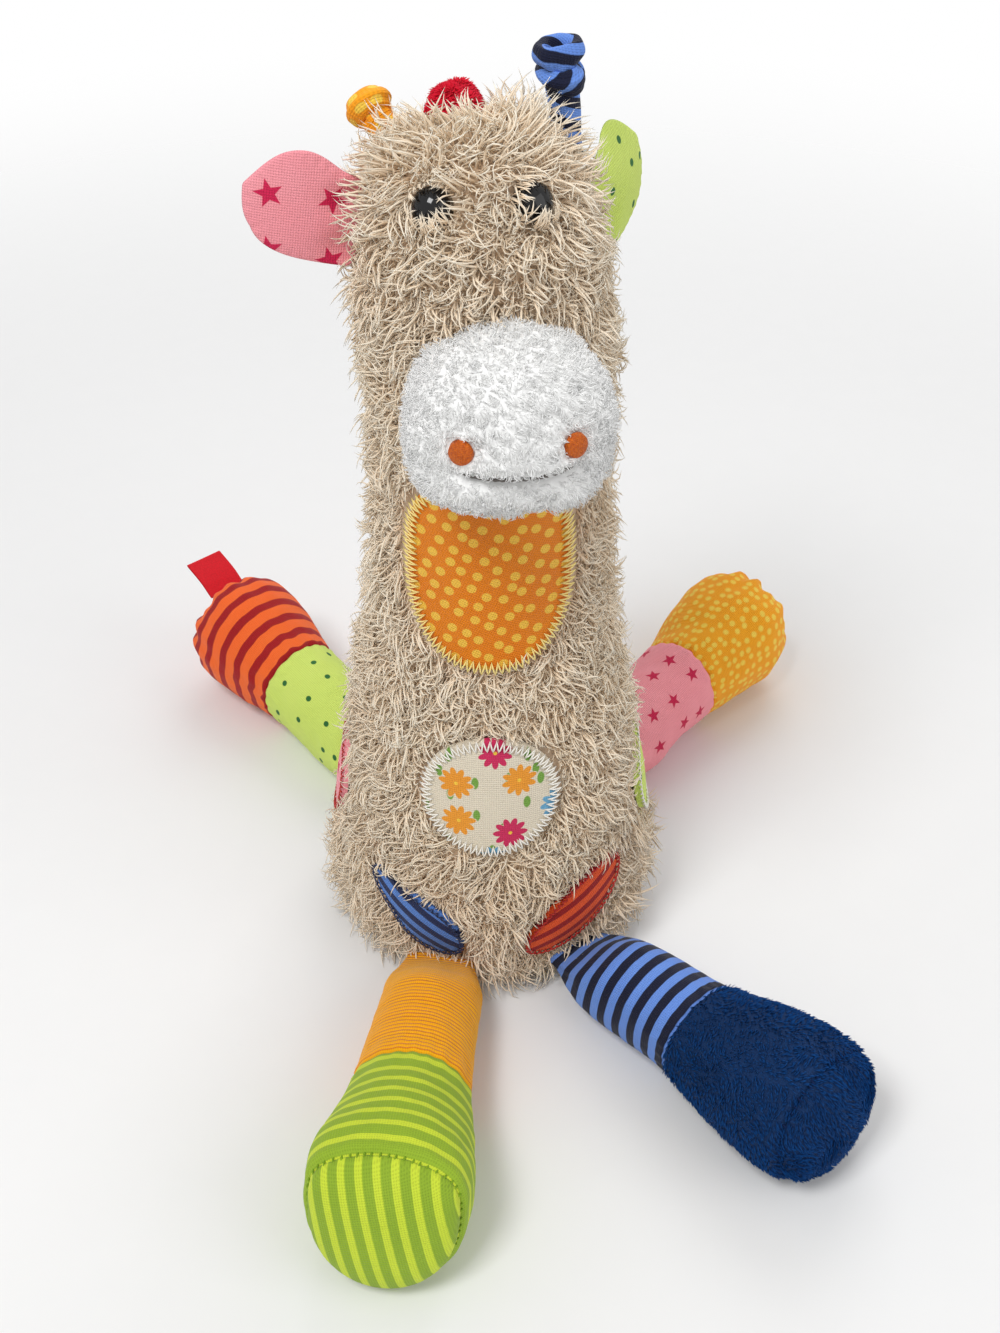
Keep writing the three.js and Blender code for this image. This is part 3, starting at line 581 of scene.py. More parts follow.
@dataclass(frozen=True)
class Cloth:
    """A woven or knitted cloth with its print, read from the cloth coordinates of the mesh."""

    name: str
    ground: Screen
    figure: Screen
    kind: Print = Print.PLAIN
    pitch: float = 6.0
    size: float = 2.0
    loose: float = 0.25
    across: bool = False
    weave: float = 0.8
    depth: float = 0.00016
    sheen: float = 0.08
    rough: float = 0.8
    second: Screen | None = None
    third: Screen | None = None
    leaf: Screen = (120, 165, 70)
    heart: Screen = (250, 205, 70)

    def material(self) -> Material:
        """Ground colour, print, thread relief, slight fading, and painted shade between the threads.

        Returns:
            The material.
        """
        make = Recipe(self.name, Sheen_Weight=self.sheen, Sheen_Roughness=0.45, Specular_IOR_Level=0.3)
        cloth = make.attribute("cloth", vector=True)
        along, around = make.split(cloth)
        wobble = make.noise(cloth, 0.35, 3)
        ruled = (around if self.across else along) + (wobble - 0.5) * 0.2
        colour = self.printed(make, cloth, ruled)
        threads = along.wave(self.weave) * 0.5 + around.wave(self.weave * 1.07) * 0.5
        fine = make.noise(cloth, 2.4, 2)
        fade = make.noise(make.place(), 34.0, 4)
        colour = make.mix(fade.step(0.35, 0.75) * 0.16, colour, (1, 1, 1), "SOFT_LIGHT")
        # Painted shade: the colour is darkened where the weave dips between threads.
        between = threads.step(-1.0, 0.4).fall(0.0, 1.0) * 0.22
        colour = make.mix(between, colour, (0.25, 0.22, 0.2), "MULTIPLY")
        make.feed("Base Color", colour)
        make.feed("Roughness", self.rough + (fine - 0.5) * 0.25)
        make.relief(threads * 0.6 + fine * 1.2, self.depth)
        return make.material

    def printed(self, make: Recipe, cloth: Field, ruled: Field) -> Field:
        """The colour of the ground with the print on it.

        Dots and stars stand near the points of a loosened square lattice, which a Voronoi cell finds. A star
        is the set under the lines from its tips to its valleys, on an angle folded into one tenth of a turn.

        Args:
            make: the material.
            cloth: cloth coordinates in millimetres.
            ruled: the one of these, a little wavy, across which stripes follow each other.

        Returns:
            The colour.
        """
        ground, figure = srgb(*self.ground), srgb(*self.figure)
        if self.kind is Print.PLAIN:
            return make.mix(make.noise(cloth, 1.1, 3).step(0.3, 0.7), ground, figure)
        if self.kind is Print.BANDS:
            return make.mix(ruled.stripe(self.pitch, self.size / self.pitch, 0.16), ground, figure)
        # Ribs: the figure colour in the furrows between the cords is painted shade; the ground colour on the
        # cords is the cloth's own.
        if self.kind is Print.RIBS:
            return make.mix((ruled.wave(self.pitch) * 0.5 + 0.5).step(0.05, 0.7), figure, ground)
        lattice = {"voronoi_dimensions": "2D", "feature": "F1"}
        grid = make.scaled(cloth, 1 / self.pitch)
        spots = make.node("ShaderNodeTexVoronoi", lattice,
                          {"Vector": grid, "Scale": 1.0, "Randomness": self.loose})
        if self.kind is Print.DOTS:
            return make.mix((spots * self.pitch).fall(self.size - 0.2, self.size + 0.2), ground, figure)
        offset = make.node("ShaderNodeVectorMath", {"operation": "SUBTRACT"},
                           {0: grid, 1: spots.other("Position")})
        east, north = (part * self.pitch for part in make.split(offset))
        spin = make.node("ShaderNodeSeparateColor", inputs={0: spots.other("Color")})
        angle = north.math("ARCTAN2", east) + spin * TAU
        reach = (east * east + north * north).math("SQRT")
        tenth = TAU / 10
        fold = ((angle + tenth).math("FLOORED_MODULO", 2 * tenth) - tenth).math("ABSOLUTE")
        if self.kind is Print.STARS:
            valley = 0.42 * self.size
            low, high = valley * math.sin(tenth), self.size - valley * math.cos(tenth)
            line = reach * fold.math("COSINE") * low + reach * fold.math("SINE") * high
            edge = (line - self.size * low) / math.hypot(low, high)
            return make.mix(edge.fall(-0.15, 0.15), ground, figure)
        ink = spin.other(1)
        petals = reach / (0.62 + 0.38 * (fold * 5).math("COSINE").math("ABSOLUTE"))
        colour = make.mix(ink.step(0.33, 0.34), figure, srgb(*self.second))
        colour = make.mix(ink.step(0.66, 0.67), colour, srgb(*self.third))
        flower = make.mix(petals.fall(self.size - 0.25, self.size + 0.25), ground, colour)
        slim = make.scaled(cloth, (2.0 / self.pitch, 1.1 / self.pitch, 1))
        leaves = make.node("ShaderNodeTexVoronoi", lattice, {"Vector": slim, "Scale": 1.0, "Randomness": 0.9})
        sprig = leaves.fall(0.13, 0.17) * petals.step(self.size + 0.2, self.size + 0.6)
        flower = make.mix(sprig, flower, srgb(*self.leaf))
        return make.mix(reach.fall(0.55, 0.85), flower, srgb(*self.heart))


@dataclass
class Studio:
    """Pale floor, soft lamps and the camera of the picture."""

    lens: float = 45.0
    camera_place: tuple[float, float, float] = (3.5, -481.4, 519.4)
    camera_dip: float = 39.94
    floor_side: float = 6000.0
    floor_tone: Colour = (0.86, 0.86, 0.86)
    floor_fade: tuple[float, float] = (450.0, 1000.0)
    sky_power: tuple[float, float] = (0.5, 1.0)

    def camera(self) -> None:
        """Place the camera: it looks along +Y, tipped down."""
        data = bpy.data.cameras.new("camera")
        data.lens, data.sensor_width, data.sensor_fit = self.lens, 36.0, "AUTO"
        data.clip_start, data.clip_end = 0.01, 50.0
        seen = bpy.data.objects.new("camera", data)
        seen.location = np.array(self.camera_place) * MM
        seen.rotation_euler = (math.radians(90 - self.camera_dip), 0, 0)
        bpy.context.scene.collection.objects.link(seen)
        bpy.context.scene.camera = seen

    def floor(self) -> None:
        """A flat sheet that takes the shadow and fades out far from the toy."""
        make = Recipe("floor", Roughness=0.9, Specular_IOR_Level=0.1)
        worn = tuple(part * 0.985 for part in self.floor_tone)
        make.feed("Base Color", make.mix(make.noise(make.place(), 60.0, 2), self.floor_tone, worn))
        far = make.node("ShaderNodeVectorMath", {"operation": "LENGTH"}, {0: make.place()}, output=1)
        make.feed("Alpha", far.fall(self.floor_fade[0] * MM, self.floor_fade[1] * MM))
        half = self.floor_side / 2
        grid = packed(np.array([[-half, half]]), np.array([[-half], [half]]), 0.0)
        surface("floor", grid, make.material, wrap=False, closed=(False, False))

    def lamps(self) -> None:
        """Three wide lamps and an even sky; the camera and mirrors see a white sky."""
        for name, place, aim, side, power in (
                ("key_lamp", (-550, -700, 1500), (0, 0, 120), 500, 13.0),
                ("fill_lamp", (1200, -700, 900), (0, 0, 150), 1200, 5.0),
                ("back_lamp", (300, 1200, 1300), (0, 0, 200), 1000, 7.0)):
            data = bpy.data.lights.new(name, "AREA")
            data.energy, data.size = power, side * MM
            lamp = bpy.data.objects.new(name, data)
            ahead = unit(np.array(aim, float) - np.array(place))
            lamp.location = np.array(place) * MM
            lamp.rotation_euler = (math.acos(-ahead[2]), 0, math.atan2(ahead[1], ahead[0]) - math.pi / 2)
            bpy.context.scene.collection.objects.link(lamp)
        world = bpy.data.worlds.new("sky")
        world.use_nodes = True
        bpy.context.scene.world = world
        sky, nodes = Graph(world.node_tree), world.node_tree.nodes
        nodes.remove(nodes["Background"])
        plain, white = (sky.node("ShaderNodeBackground", inputs={"Color": (1, 1, 1, 1), "Strength": power})
                        for power in self.sky_power)
        seen = sky.node("ShaderNodeLightPath", output="Is Camera Ray")
        share = seen.math("ADD", seen.other("Is Glossy Ray"), clamp=True)
        share = share.math("ADD", seen.other("Is Transmission Ray"), clamp=True)
        mixed = sky.node("ShaderNodeMixShader", inputs={0: share, 1: plain, 2: white})
        sky.tree.links.new(mixed.socket, nodes["World Output"].inputs["Surface"])

    def build(self) -> None:
        """Set the colour view and everything round the toy."""
        bpy.context.scene.view_settings.view_transform = "Standard"
        self.camera()
        self.floor()
        self.lamps()


@dataclass(frozen=True)
class Pelt:
    """How a pile grows: each thread leaves its root at a steep angle, bends over and curls."""

    length: float
    radius: float
    rise: float = 58.0
    rest: float = 6.0
    swirl: float = 55.0
    curl: float = 70.0
    stray: float = 30.0
    clump: float = 0.55
    clump_of: int = 5
    steps: int = 6
    floor: float = 0.5

    def grow(self, roots: Array, normals: Array, comb: Array, seed: int, calm: Array | float = 0.0,
             reach: Array | float = 1.0, erect: Array | float = 0.0) -> tuple[Array, Array, Array]:
        """Paths of all threads.

        The lean falls from rise to rest along a thread while its heading turns by its own share of curl.
        Steps of equal length along that heading are added up. The tips of neighbours are then drawn to the
        thread in their middle.

        Args:
            roots: places of the roots, one row each, in millimetres.
            normals: directions out of the skin.
            comb: directions along the skin in which the pile lies.
            seed: picks the chance parts.
            calm: share of the curl and stray that each thread lacks.
            reach: factor on the length of each thread.
            erect: degrees by which each thread stands steeper.

        Returns:
            Paths of shape (threads, steps, 3), radii and shades.
        """
        rng = np.random.default_rng(seed)
        count, share = len(roots), np.linspace(0, 1, self.steps)
        comb = unit(comb - (comb * normals).sum(-1, keepdims=True) * normals)
        beside = np.cross(normals, comb)
        wild = 1 - np.broadcast_to(calm, (count,))
        swirl = (ripple(roots, seed + 1, 34.0) * self.swirl + rng.normal(size=count) * self.stray) * wild
        turn = (ripple(roots, seed + 2, 20.0) * self.curl + rng.normal(size=count) * self.curl * 0.6) * wild
        heading = np.radians(swirl[:, None] + turn[:, None] * share)
        lift = ripple(roots, seed + 3, 16.0)[:, None] * 10 + rng.normal(size=(count, 1)) * 8
        lift = lift + np.broadcast_to(erect, (count,))[:, None]
        lean = np.radians(np.clip(self.rise + (self.rest - self.rise) * share ** 0.8 + lift, -4, 88))
        flat = np.cos(heading)[..., None] * comb[:, None] + np.sin(heading)[..., None] * beside[:, None]
        step = np.cos(lean)[..., None] * flat + np.sin(lean)[..., None] * normals[:, None]
        long = self.length * rng.uniform(0.7, 1.15, count) * reach
        run = np.cumsum(step[:, :-1], axis=1) * (long / (self.steps - 1))[:, None, None]
        paths = np.concatenate([roots[:, None], roots[:, None] + run], axis=1)
        leaders = np.arange(0, count, self.clump_of)
        rng.shuffle(leaders)
        nearest = np.concatenate([
            np.argmin(((part[:, None] - roots[leaders][None]) ** 2).sum(-1), axis=1)
            for part in np.array_split(roots, max(1, count // 400))])
        pull = (self.clump * share ** 1.6)[None, :, None]
        paths = paths + (paths[leaders[nearest]] - paths) * pull
        paths[..., 2] = np.maximum(paths[..., 2], self.floor)
        shade = np.clip(0.5 + 0.28 * rng.normal(size=count) + 0.25 * ripple(roots, seed + 4, 24.0), 0, 1)
        return paths, self.radius * rng.uniform(0.75, 1.2, count), shade


@dataclass(frozen=True)
class Coat:
    """One layer of the column's pile."""

    name: str
    pelt: Pelt
    count: int
    bands: int
    seed: int
    erect: float
    pale: float


class Column:
    """The stuffed body, neck and head in one: a turned shape under long pile."""

    stations = [(47, 0), (58, 8), (64, 32), (61, 66), (53.5, 105), (46.5, 148), (42, 195), (41.5, 226),
                (42.5, 260), (40.5, 288), (35.5, 308), (26.5, 322), (13, 329), (0, 331)]
    skin_depth, wadding_depth = 5.0, 11.0
    around, along, skin_share = 120, 110, 0.995
    neck_bend, wadding_break = (175.0, 228.0), (188.5, 206.5)
    lean, lean_from, crown = -5.0, 236.0, 331.0
    crown_pile, skirt_pile, parting = (284, 320), (16, 44), (1, 7)
    coats = (
        Coat("wool", Pelt(length=7.6, radius=0.3, rise=50, rest=4, swirl=50, curl=160, stray=85, clump=0.4,
                          steps=4), count=52000, bands=5, seed=11, erect=6, pale=0.0),
        Coat("tips", Pelt(length=13.0, radius=0.43, rise=56, rest=9, swirl=70, curl=135, stray=40, clump=0.6,
                          clump_of=4), count=15000, bands=3, seed=17, erect=18, pale=0.3))

    def __init__(self) -> None:
        """Lay out the turned outline."""
        self.outline = Outline(self.stations)

    def radius(self, height: Array) -> Array:
        """Radius of the toy at a height."""
        return self.outline.radius(height)

    def leaned(self, points: Array) -> Array:
        """Move points sideways with the head, which leans over above the neck."""
        shift = self.lean * smooth(points[..., 2], self.lean_from, self.crown)
        return points + shift[..., None] * np.array([1, 0, 0])

    def bend(self, piece: Piece) -> None:
        """Bake a piece's transform into its mesh; the piece rides on no body."""
        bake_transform(piece)

    def walk(self, share: Array, depth: float = skin_depth) -> tuple[Array, Array]:
        """Points (radius, height) at a depth under the outline, and outward directions, at shares of it.

        Args:
            share: shares of the outline.
            depth: depth under it.

        Returns:
            The points and the directions.
        """
        point, near = self.outline.at(share), 0.002
        ahead = unit(self.outline.at(np.asarray(share) + near) - self.outline.at(np.asarray(share) - near))
        out = np.stack([ahead[..., 1], -ahead[..., 0]], axis=-1)
        skin = point - depth * out
        return np.stack([np.maximum(skin[..., 0], 0), np.maximum(skin[..., 1], 0.6)], axis=-1), out

    def turned(self, rows: Array) -> Array:
        """Turn rows of (radius, height) about +Z and lean them with the head."""
        level = rows[:, None, :1] * on_circle(full_turn(self.around))
        return self.leaned(packed(level[..., 0], level[..., 1], rows[:, 1:]))

    def wadding(self, finish: Material) -> list[Piece]:
        """The stuffing of torso and head: the outline moved in by its depth, with a break at the neck.

        Args:
            finish: material of the stuffing.

        Returns:
            The two lumps.
        """
        rows, _ = self.walk(np.linspace(0, self.skin_share, self.along // 2), self.wadding_depth)
        made, (end, start) = [], self.wadding_break
        for name, body, part in (("torso", "body", rows[rows[:, 1] <= end]),
                                 ("head", "head", rows[rows[:, 1] >= start])):
            lump = surface(f"{name}_wadding", self.turned(part), finish)
            made.append(claim(lump, "filling", body, f"{name}_filling", fill=0.8))
        return made

    def skin(self, finish: Material) -> Piece:
        """The knitted backing: the outline moved in by the skin depth and turned about +Z.

        Args:
            finish: material of the backing.

        Returns:
            The skin.
        """
        rows, _ = self.walk(np.linspace(0, self.skin_share, self.along))
        made = surface("column_skin", self.turned(rows), finish)
        claim(made, "beige_plush", None, "torso_cover", "head_cover", fill=0.9)
        self.bend(made)
        return made

    def roots(self, count: int, seed: int) -> tuple[Array, Array]:
        """Even places on the skin: shares of its area along, golden angles around, both a little jittered.

        Args:
            count: how many places.
            seed: picks the jitter.

        Returns:
            Places and outward directions.
        """
        rng = np.random.default_rng(seed)
        share = np.linspace(0, 1, 3001)
        skin, _ = self.walk(share)
        rings = np.linalg.norm(np.diff(skin, axis=0), axis=1) * (skin[1:, 0] + skin[:-1, 0] + 4)
        area = np.concatenate([[0], np.cumsum(rings)])
        wanted = (np.arange(count) + rng.uniform(0, 1, count)) / count * area[-1]
        skin, out = self.walk(np.interp(wanted, area, share))
        angle = np.arange(count) * math.pi * (3 - math.sqrt(5)) + rng.normal(size=count) * 0.05
        circle = on_circle(angle)
        place = np.concatenate([skin[:, :1] * circle, skin[:, 1:]], axis=-1)
        return self.leaned(place), np.concatenate([out[:, :1] * circle, out[:, 1:]], axis=-1)

    def fur(self, finish: Material, sewn: list, eyes: "Eyes") -> list[Piece]:
        """Curly wool and longer pale tips from the seat to the crown.

        The pile hangs down and fans out on the crown, where it is longer and stands up. Near a sewn-on
        piece it is parted, pile that hangs towards the piece is cut off at its edge, and under it there is
        none. Threads that would hang before an eye are left out.

        Args:
            finish: material of the threads.
            sewn: pieces that cover the skin.
            eyes: the eyes.

        Returns:
            The bands of pile.
        """
        made = []
        for coat in self.coats:
            place, out = self.roots(coat.count, coat.seed)
            gap, away = (np.array(part) for part in zip(*(piece.near(place) for piece in sewn)))
            gap, away = gap.min(axis=0), away[gap.argmin(axis=0), np.arange(coat.count)]
            free = gap > 0
            place, out, gap, away = place[free], out[free], gap[free], away[free]
            beside = 1 - smooth(gap, *self.parting)
            crown = smooth(place[:, 2], *self.crown_pile)
            skirt = 1 - smooth(place[:, 2], *self.skirt_pile)
            fan = unit(np.array([0, 0, -1.0]) + 1.2 * crown[:, None] * unit(place * np.array([1, 1, 0])))
            toward = smooth(-(fan * away).sum(-1), 0.1, 0.5)
            room = np.clip((gap + 3.6) / (0.75 * coat.pelt.length), 0.35, 1)
            paths, radius, shade = coat.pelt.grow(
                place, out, fan + 0.2 * away * beside[:, None], coat.seed, calm=0.3 * beside,
                reach=(1 + 0.3 * crown + 0.4 * skirt) * (room * toward + (1 - 0.2 * beside) * (1 - toward)),
                erect=coat.erect * crown + 12 * skirt - 8 * beside)
            # The crown term makes threads on top of the head paler: painted light from above. coat.pale is
            # the tips' own paler colour.
            shade = np.clip(shade * 0.7 + coat.pale + 0.3 * crown, 0, 1)
            seen = ~eyes.covered(paths)
            paths, radius, shade = paths[seen], radius[seen], shade[seen]
            upward = np.argsort(paths[:, 0, 2], kind="stable")
            for number, rows in enumerate(np.array_split(upward, coat.bands)):
                name = f"column_{coat.name}_{number + 1}"
                band = strands(name, paths[rows], radius[rows], finish, shade[rows])
                self.bend(claim(band, "beige_plush", None))
                made.append(band)
        return made


class Shape(Enum):
    """Outline of a sewn-on patch."""

    BIB = "bib"
    OVAL = "oval"
    LEAF = "leaf"


@dataclass
class Patch:
    """A piece of cloth sewn on the column, with a zigzag along its edge."""

    column: Column
    node: str
    slot: str
    shape: Shape
    azimuth: float
    height: float
    width: float
    length: float
    tilt: float = 0.0
    taper: float = 0.0
    grain: float = 0.0
    depth: float = 1.2
    stitch_width: float = 4.6
    stitch_pitch: float = 2.4
    thread: float = 0.3
    body: str | None = "body"
    stitched: bool = False

    def edge(self, angle: Array) -> Array:
        """Outline radius at an angle from the middle.

        An oval is an ellipse. A leaf is a slimmer one that may taper to one end. A bib is a half ellipse
        under a block with rounded top corners, found as a power mean.

        Args:
            angle: angles in radians, from the width's direction.

        Returns:
            Radii in millimetres.
        """
        c, s = np.abs(np.cos(angle)), np.sin(angle)
        half, tall = self.width / 2, self.length / 2
        if self.shape is Shape.LEAF:
            half, tall = 0.94 * half, 1.08 * tall * (1 + self.taper * np.cos(angle))
        power = np.where(s > 0, 3.4, 2.3) if self.shape is Shape.BIB else 2.0
        return ((c / half) ** power + (np.abs(s) / tall) ** power) ** (-1 / power)

    def flat(self, points: Array) -> Array:
        """Sideways and upward places of points as seen square on the patch."""
        beside = turn_z(points, -self.azimuth)[..., 1]
        return turn_flat(packed(beside, points[..., 2] - self.height), -self.tilt)

    def near(self, points: Array) -> tuple[Array, Array]:
        """How far points lie outside the edge, and which way leads straight away from it.

        Args:
            points: places of the roots.

        Returns:
            Gaps and directions.
        """
        spot = self.flat(points)
        rim = self.edge(np.arctan2(spot[..., 1], spot[..., 0]))
        gap = np.hypot(spot[..., 0], spot[..., 1]) - rim - 0.3
        gap = np.where(turn_z(points, -self.azimuth)[..., 0] > 0, gap, 99.0)
        across = turn_flat(unit(spot / np.array([self.width, self.length]) ** 2 + 1e-9), self.tilt)
        beside = turn_z(np.array([0.0, 1.0, 0.0]), self.azimuth)
        return gap, across[..., :1] * beside + across[..., 1:] * np.array([0, 0, 1.0])

    def on_column(self, spot: Array, depth: Array) -> Array:
        """Carry flat places on to the column, at a depth under its outline.

        Args:
            spot: flat places.
            depth: depth at each place.

        Returns:
            Places in the toy's frame.
        """
        turned = turn_flat(spot, self.tilt)
        height = self.height + turned[..., 1]
        full = self.column.radius(height)
        swing = np.arcsin(np.clip(turned[..., 0] / full, -0.98, 0.98))
        reach = full - depth
        return turn_z(packed(reach * np.cos(swing), reach * np.sin(swing), height), self.azimuth)

    def build(self, finish: Material, thread: Material) -> list[Piece]:
        """The cloth, as rings from the middle to the edge, and its zigzag.

        Args:
            finish: material of the cloth.
            thread: material of the zigzag.

        Returns:
            The cloth and the zigzag.
        """
        share, angle = np.linspace(0.02, 1, 30)[:, None], full_turn(96)
        rim = self.edge(angle)
        spot = (share * rim)[..., None] * on_circle(angle)
        pucker = 0.22 * smooth(share, 0.72, 0.98) * np.cos(angle * 23 + 1.3 * np.sin(angle * 5))
        belly = 0.9 * (1 - share ** 2)
        tuck = 2.0 * smooth(share, 0.975, 1.0)
        points = self.on_column(spot, self.depth - belly + pucker * (1 - smooth(share, 0.98, 1)) + tuck)
        cloth = turn_flat(seamed(spot), self.grain)
        sheet = surface(f"{self.node}_cloth", points[::-1], finish, cloth[::-1], closed=(False, True))
        claim(sheet, self.slot, None, self.node)
        area = min(float((rim ** 2).mean() * math.pi), self.width * self.length)
        zigzag = self.zigzag(thread)
        if self.stitched:
            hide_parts(f"{self.node}_stitching")
        for piece in (sheet, zigzag):
            if self.body:
                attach(piece, self.body)
            else:
                self.column.bend(piece)
        return [sheet, zigzag]

    def zigzag(self, thread: Material) -> Piece:
        """One thread that swings to and fro over the edge: a triangle wave across the outline.

        Args:
            thread: material of the thread.

        Returns:
            The zigzag.
        """
        fine = np.linspace(0, TAU, 2000)
        walked = distances(self.edge(fine)[:, None] * on_circle(fine))
        turns = int(walked[-1] / self.stitch_pitch)
        step = np.linspace(0, 1, turns * 6 + 1)[:-1]
        where = np.interp(step * walked[-1], walked, fine)
        swing = 2 * np.abs(2 * ((step * turns) % 1) - 1) - 1
        reach = self.edge(where) - 0.4 * self.stitch_width + swing * self.stitch_width / 2
        path = self.on_column(reach[:, None] * on_circle(where), self.depth - 1.0 + 0.6 * np.abs(swing) ** 3)
        loop = tube(np.concatenate([path, path[:1]]), self.thread, 5)
        return surface(f"{self.node}_cloth_zigzag", loop, thread, closed=(False, False))


def scatter(points: Array, count: int, seed: int) -> tuple[Array, Array]:
    """Even places on a wrapped grid: cells are drawn by area, and each place mixes its cell's corners.

    Args:
        points: grid of shape (rows, columns, 3).
        count: how many places.
        seed: picks the places.

    Returns:
        Places and outward directions.
    """
    rng = np.random.default_rng(seed)
    beside = np.roll(points, -1, axis=1)
    a, b, c, d = (grid.reshape(-1, 3) for grid in (points[:-1], beside[:-1], beside[1:], points[1:]))
    facing = np.cross(c - a, d - b)
    area = np.cumsum(np.linalg.norm(facing, axis=1))
    pick = np.searchsorted(area, (np.arange(count) + rng.uniform(0, 1, count)) / count * area[-1])
    pick = np.minimum(pick, len(area) - 1)
    s, t = rng.uniform(0, 1, (2, count, 1))
    place = (a[pick] * (1 - s) + b[pick] * s) * (1 - t) + (d[pick] * (1 - s) + c[pick] * s) * t
    return place, unit(facing[pick])


@dataclass
class Leg:
    """A stuffed cloth leg, sewn flat to the column and round at the foot."""

    column: Column
    name: str
    azimuth: float
    yaw: float
    root_r: float
    cuff_r: float
    foot_r: float
    upper: float
    foot: float
    lean: float = 0.0
    sole: bool = False
    corners: float = 0.0
    ribs: float = 0.0
    velour: int = 0
    seed: int = 1
    root_height: float = 15.0
    root_gap: float = 0.7
    seam: float = 0.45
    pinch: float = 28.0
    tucked: float = 4.0
    drawn_in: float = 0.28
    sole_bulge: float = 10.0
    sole_slant: float = -13.0
    sole_stitches: int = 58
    wadding_gap: float = 3.6
    wadding_end: float = 0.86
    floor: float = 0.7
    sides: int = 112
    nap = Pelt(length=2.6, radius=0.27, rise=48, rest=14, curl=20, stray=16, clump=0.25, clump_of=7, steps=4,
               floor=0.4)

    def __post_init__(self) -> None:
        """Lay out the radius along the leg."""
        r, u, f = self.foot_r, self.upper, self.foot
        self.outline = Outline([
            (self.root_r, -7.2), (self.root_r, 0), ((self.root_r + self.cuff_r) / 2, u / 2), (self.cuff_r, u),
            (0.91 * r, u + 0.36 * f), (r, u + 0.66 * f), (0.9 * r, u + 0.86 * f), (0.5 * r, u + 0.98 * f),
            (0, u + f)])
        self.rim = u + f - self.sole_bulge
        self.rim_r = float(self.outline.radius(self.rim)) - 0.7
        self.angle = full_turn(self.sides)

    def cornered(self, along: Array, angle: Array, radius: Array) -> Array:
        """Widen a radius towards the two upper corners of the sole and lower the top between them.

        Args:
            along: distances from the root.
            angle: angles about the leg.
            radius: distances from the leg's axis.

        Returns:
            The new radius.
        """
        turn = np.degrees(angle)
        corner = bump_at(turn, 32, 20) + bump_at(turn, 148, 20) - 0.6 * bump_at(turn, 90, 30)
        return radius * (1 + self.corners * corner * smooth(along, self.upper + 16, self.rim))

    def laid(self, along: Array, angle: Array, radius: Array, relief: Array | float = 0.0) -> Array:
        """Lay a turned shape on the floor.

        It is pinched flat at the root, climbs evenly so that the foot clears the floor, leans back at the
        sole, which may have two corners and a flatter top, and is pressed flat where it would go under the
        floor.

        Args:
            along: distances from the root.
            angle: angles about the leg.
            radius: distances from the leg's axis.
            relief: further distances, which the pinch leaves as they are.

        Returns:
            Points in the toy's frame.
        """
        thin = self.seam / self.root_r
        radius = self.cornered(along, angle, radius)
        flat = thin + (1 - thin) * smooth(along, -self.tucked - 1, self.pinch)
        rise = (radius * flat + relief) * np.sin(angle)
        slope = (self.foot_r - 0.5 - self.root_height) / (self.upper + 0.66 * self.foot)
        ahead = along - rise * self.lean * smooth(along, self.upper, self.upper + self.foot)
        height = rise + slope * np.maximum(along, 0) + self.root_height - self.floor
        height = self.floor + np.logaddexp(0, height / 0.8) * 0.8
        narrow = 1 - self.drawn_in * (1 - smooth(along, -self.tucked, 18))
        across = (radius + relief) * np.cos(angle) * narrow
        points = turn_z(packed(ahead, across, np.zeros_like(height)), self.yaw)
        points = points + np.array([self.column.radius(self.root_height) + self.root_gap, 0, 0])
        points[..., 2] = height
        return turn_z(points, self.azimuth)

    def soften(self, along: Array, angle: Array, radius: Array) -> Array:
        """Add the give of stuffed cloth to a radius: broad dents, and puckers that die away from the cuff.

        Args:
            along: distances from the root.
            angle: angles about the leg.
            radius: distances from the leg's axis.

        Returns:
            The new radius.
        """
        spot = packed(along, radius * np.cos(angle), radius * np.sin(angle))
        near = np.exp(-np.abs(along - self.upper) / 7)
        gather = 0.32 * near * np.cos(angle * 19 + 2.2 * np.sin(angle * 3 + self.seed) + self.seed)
        dents = 0.55 * ripple(spot, self.seed, 46.0, 7) + 0.18 * ripple(spot, self.seed + 9, 13.0, 8)
        root = 0.8 * (1 - smooth(along, 4, 30)) * np.cos(angle * 6 + self.seed)
        give = gather + dents * smooth(radius, 2, 12) + root
        return radius + give - 0.9 * bump_at(along, self.upper, 0.9)

    def rows_cloth(self, along: Array, girth: float) -> Array:
        """Cloth coordinates of turned rows: distance along and around."""
        turn = np.linspace(0, 1, self.sides + 1) * girth
        return packed(along[:, None], turn)

    def carry(self, piece: Piece, slot: str, *nodes: str) -> Piece:
        """Hide the nodes that a stuffed piece of this leg stands for and attach it to the leg's body."""
        return claim(piece, slot, f"{self.name}_leg", *nodes, fill=0.85)

    def build_upper(self, finish: Material, slot: str) -> Piece:
        """The upper cloth from the flat root to the cuff, with raised cords where it is corduroy.

        Args:
            finish: material of the cloth.
            slot: its material slot.

        Returns:
            The upper cloth.
        """
        along = np.linspace(-self.tucked, self.upper, 400 if self.ribs else 160)
        radius = self.soften(along[:, None], self.angle, self.outline.radius(along)[:, None])
        cord = 0.0
        if self.ribs:
            cord = 0.36 * np.sqrt(np.abs(np.cos(along * math.pi / self.ribs)))[:, None] - 0.3
        points = self.laid(along[:, None], self.angle, radius, cord)
        cloth = self.rows_cloth(along, TAU * self.cuff_r)
        made = surface(f"{self.name}_upper", points, finish, cloth)
        return self.carry(made, slot, f"leg_{self.name}")

    def build_wadding(self, finish: Material) -> Piece:
        """The stuffing: the leg's outline moved in by its gap and cut short at both ends.

        Args:
            finish: material of the stuffing.

        Returns:
            The stuffing.
        """
        along = np.linspace(self.pinch / 2, self.upper + self.wadding_end * self.foot, 40)[:, None]
        points = self.laid(along, full_turn(self.sides // 2), self.outline.radius(along) - self.wadding_gap)
        made = surface(f"{self.name}_wadding", points, finish)
        return self.carry(made, "filling", f"leg_filling_{self.name}")

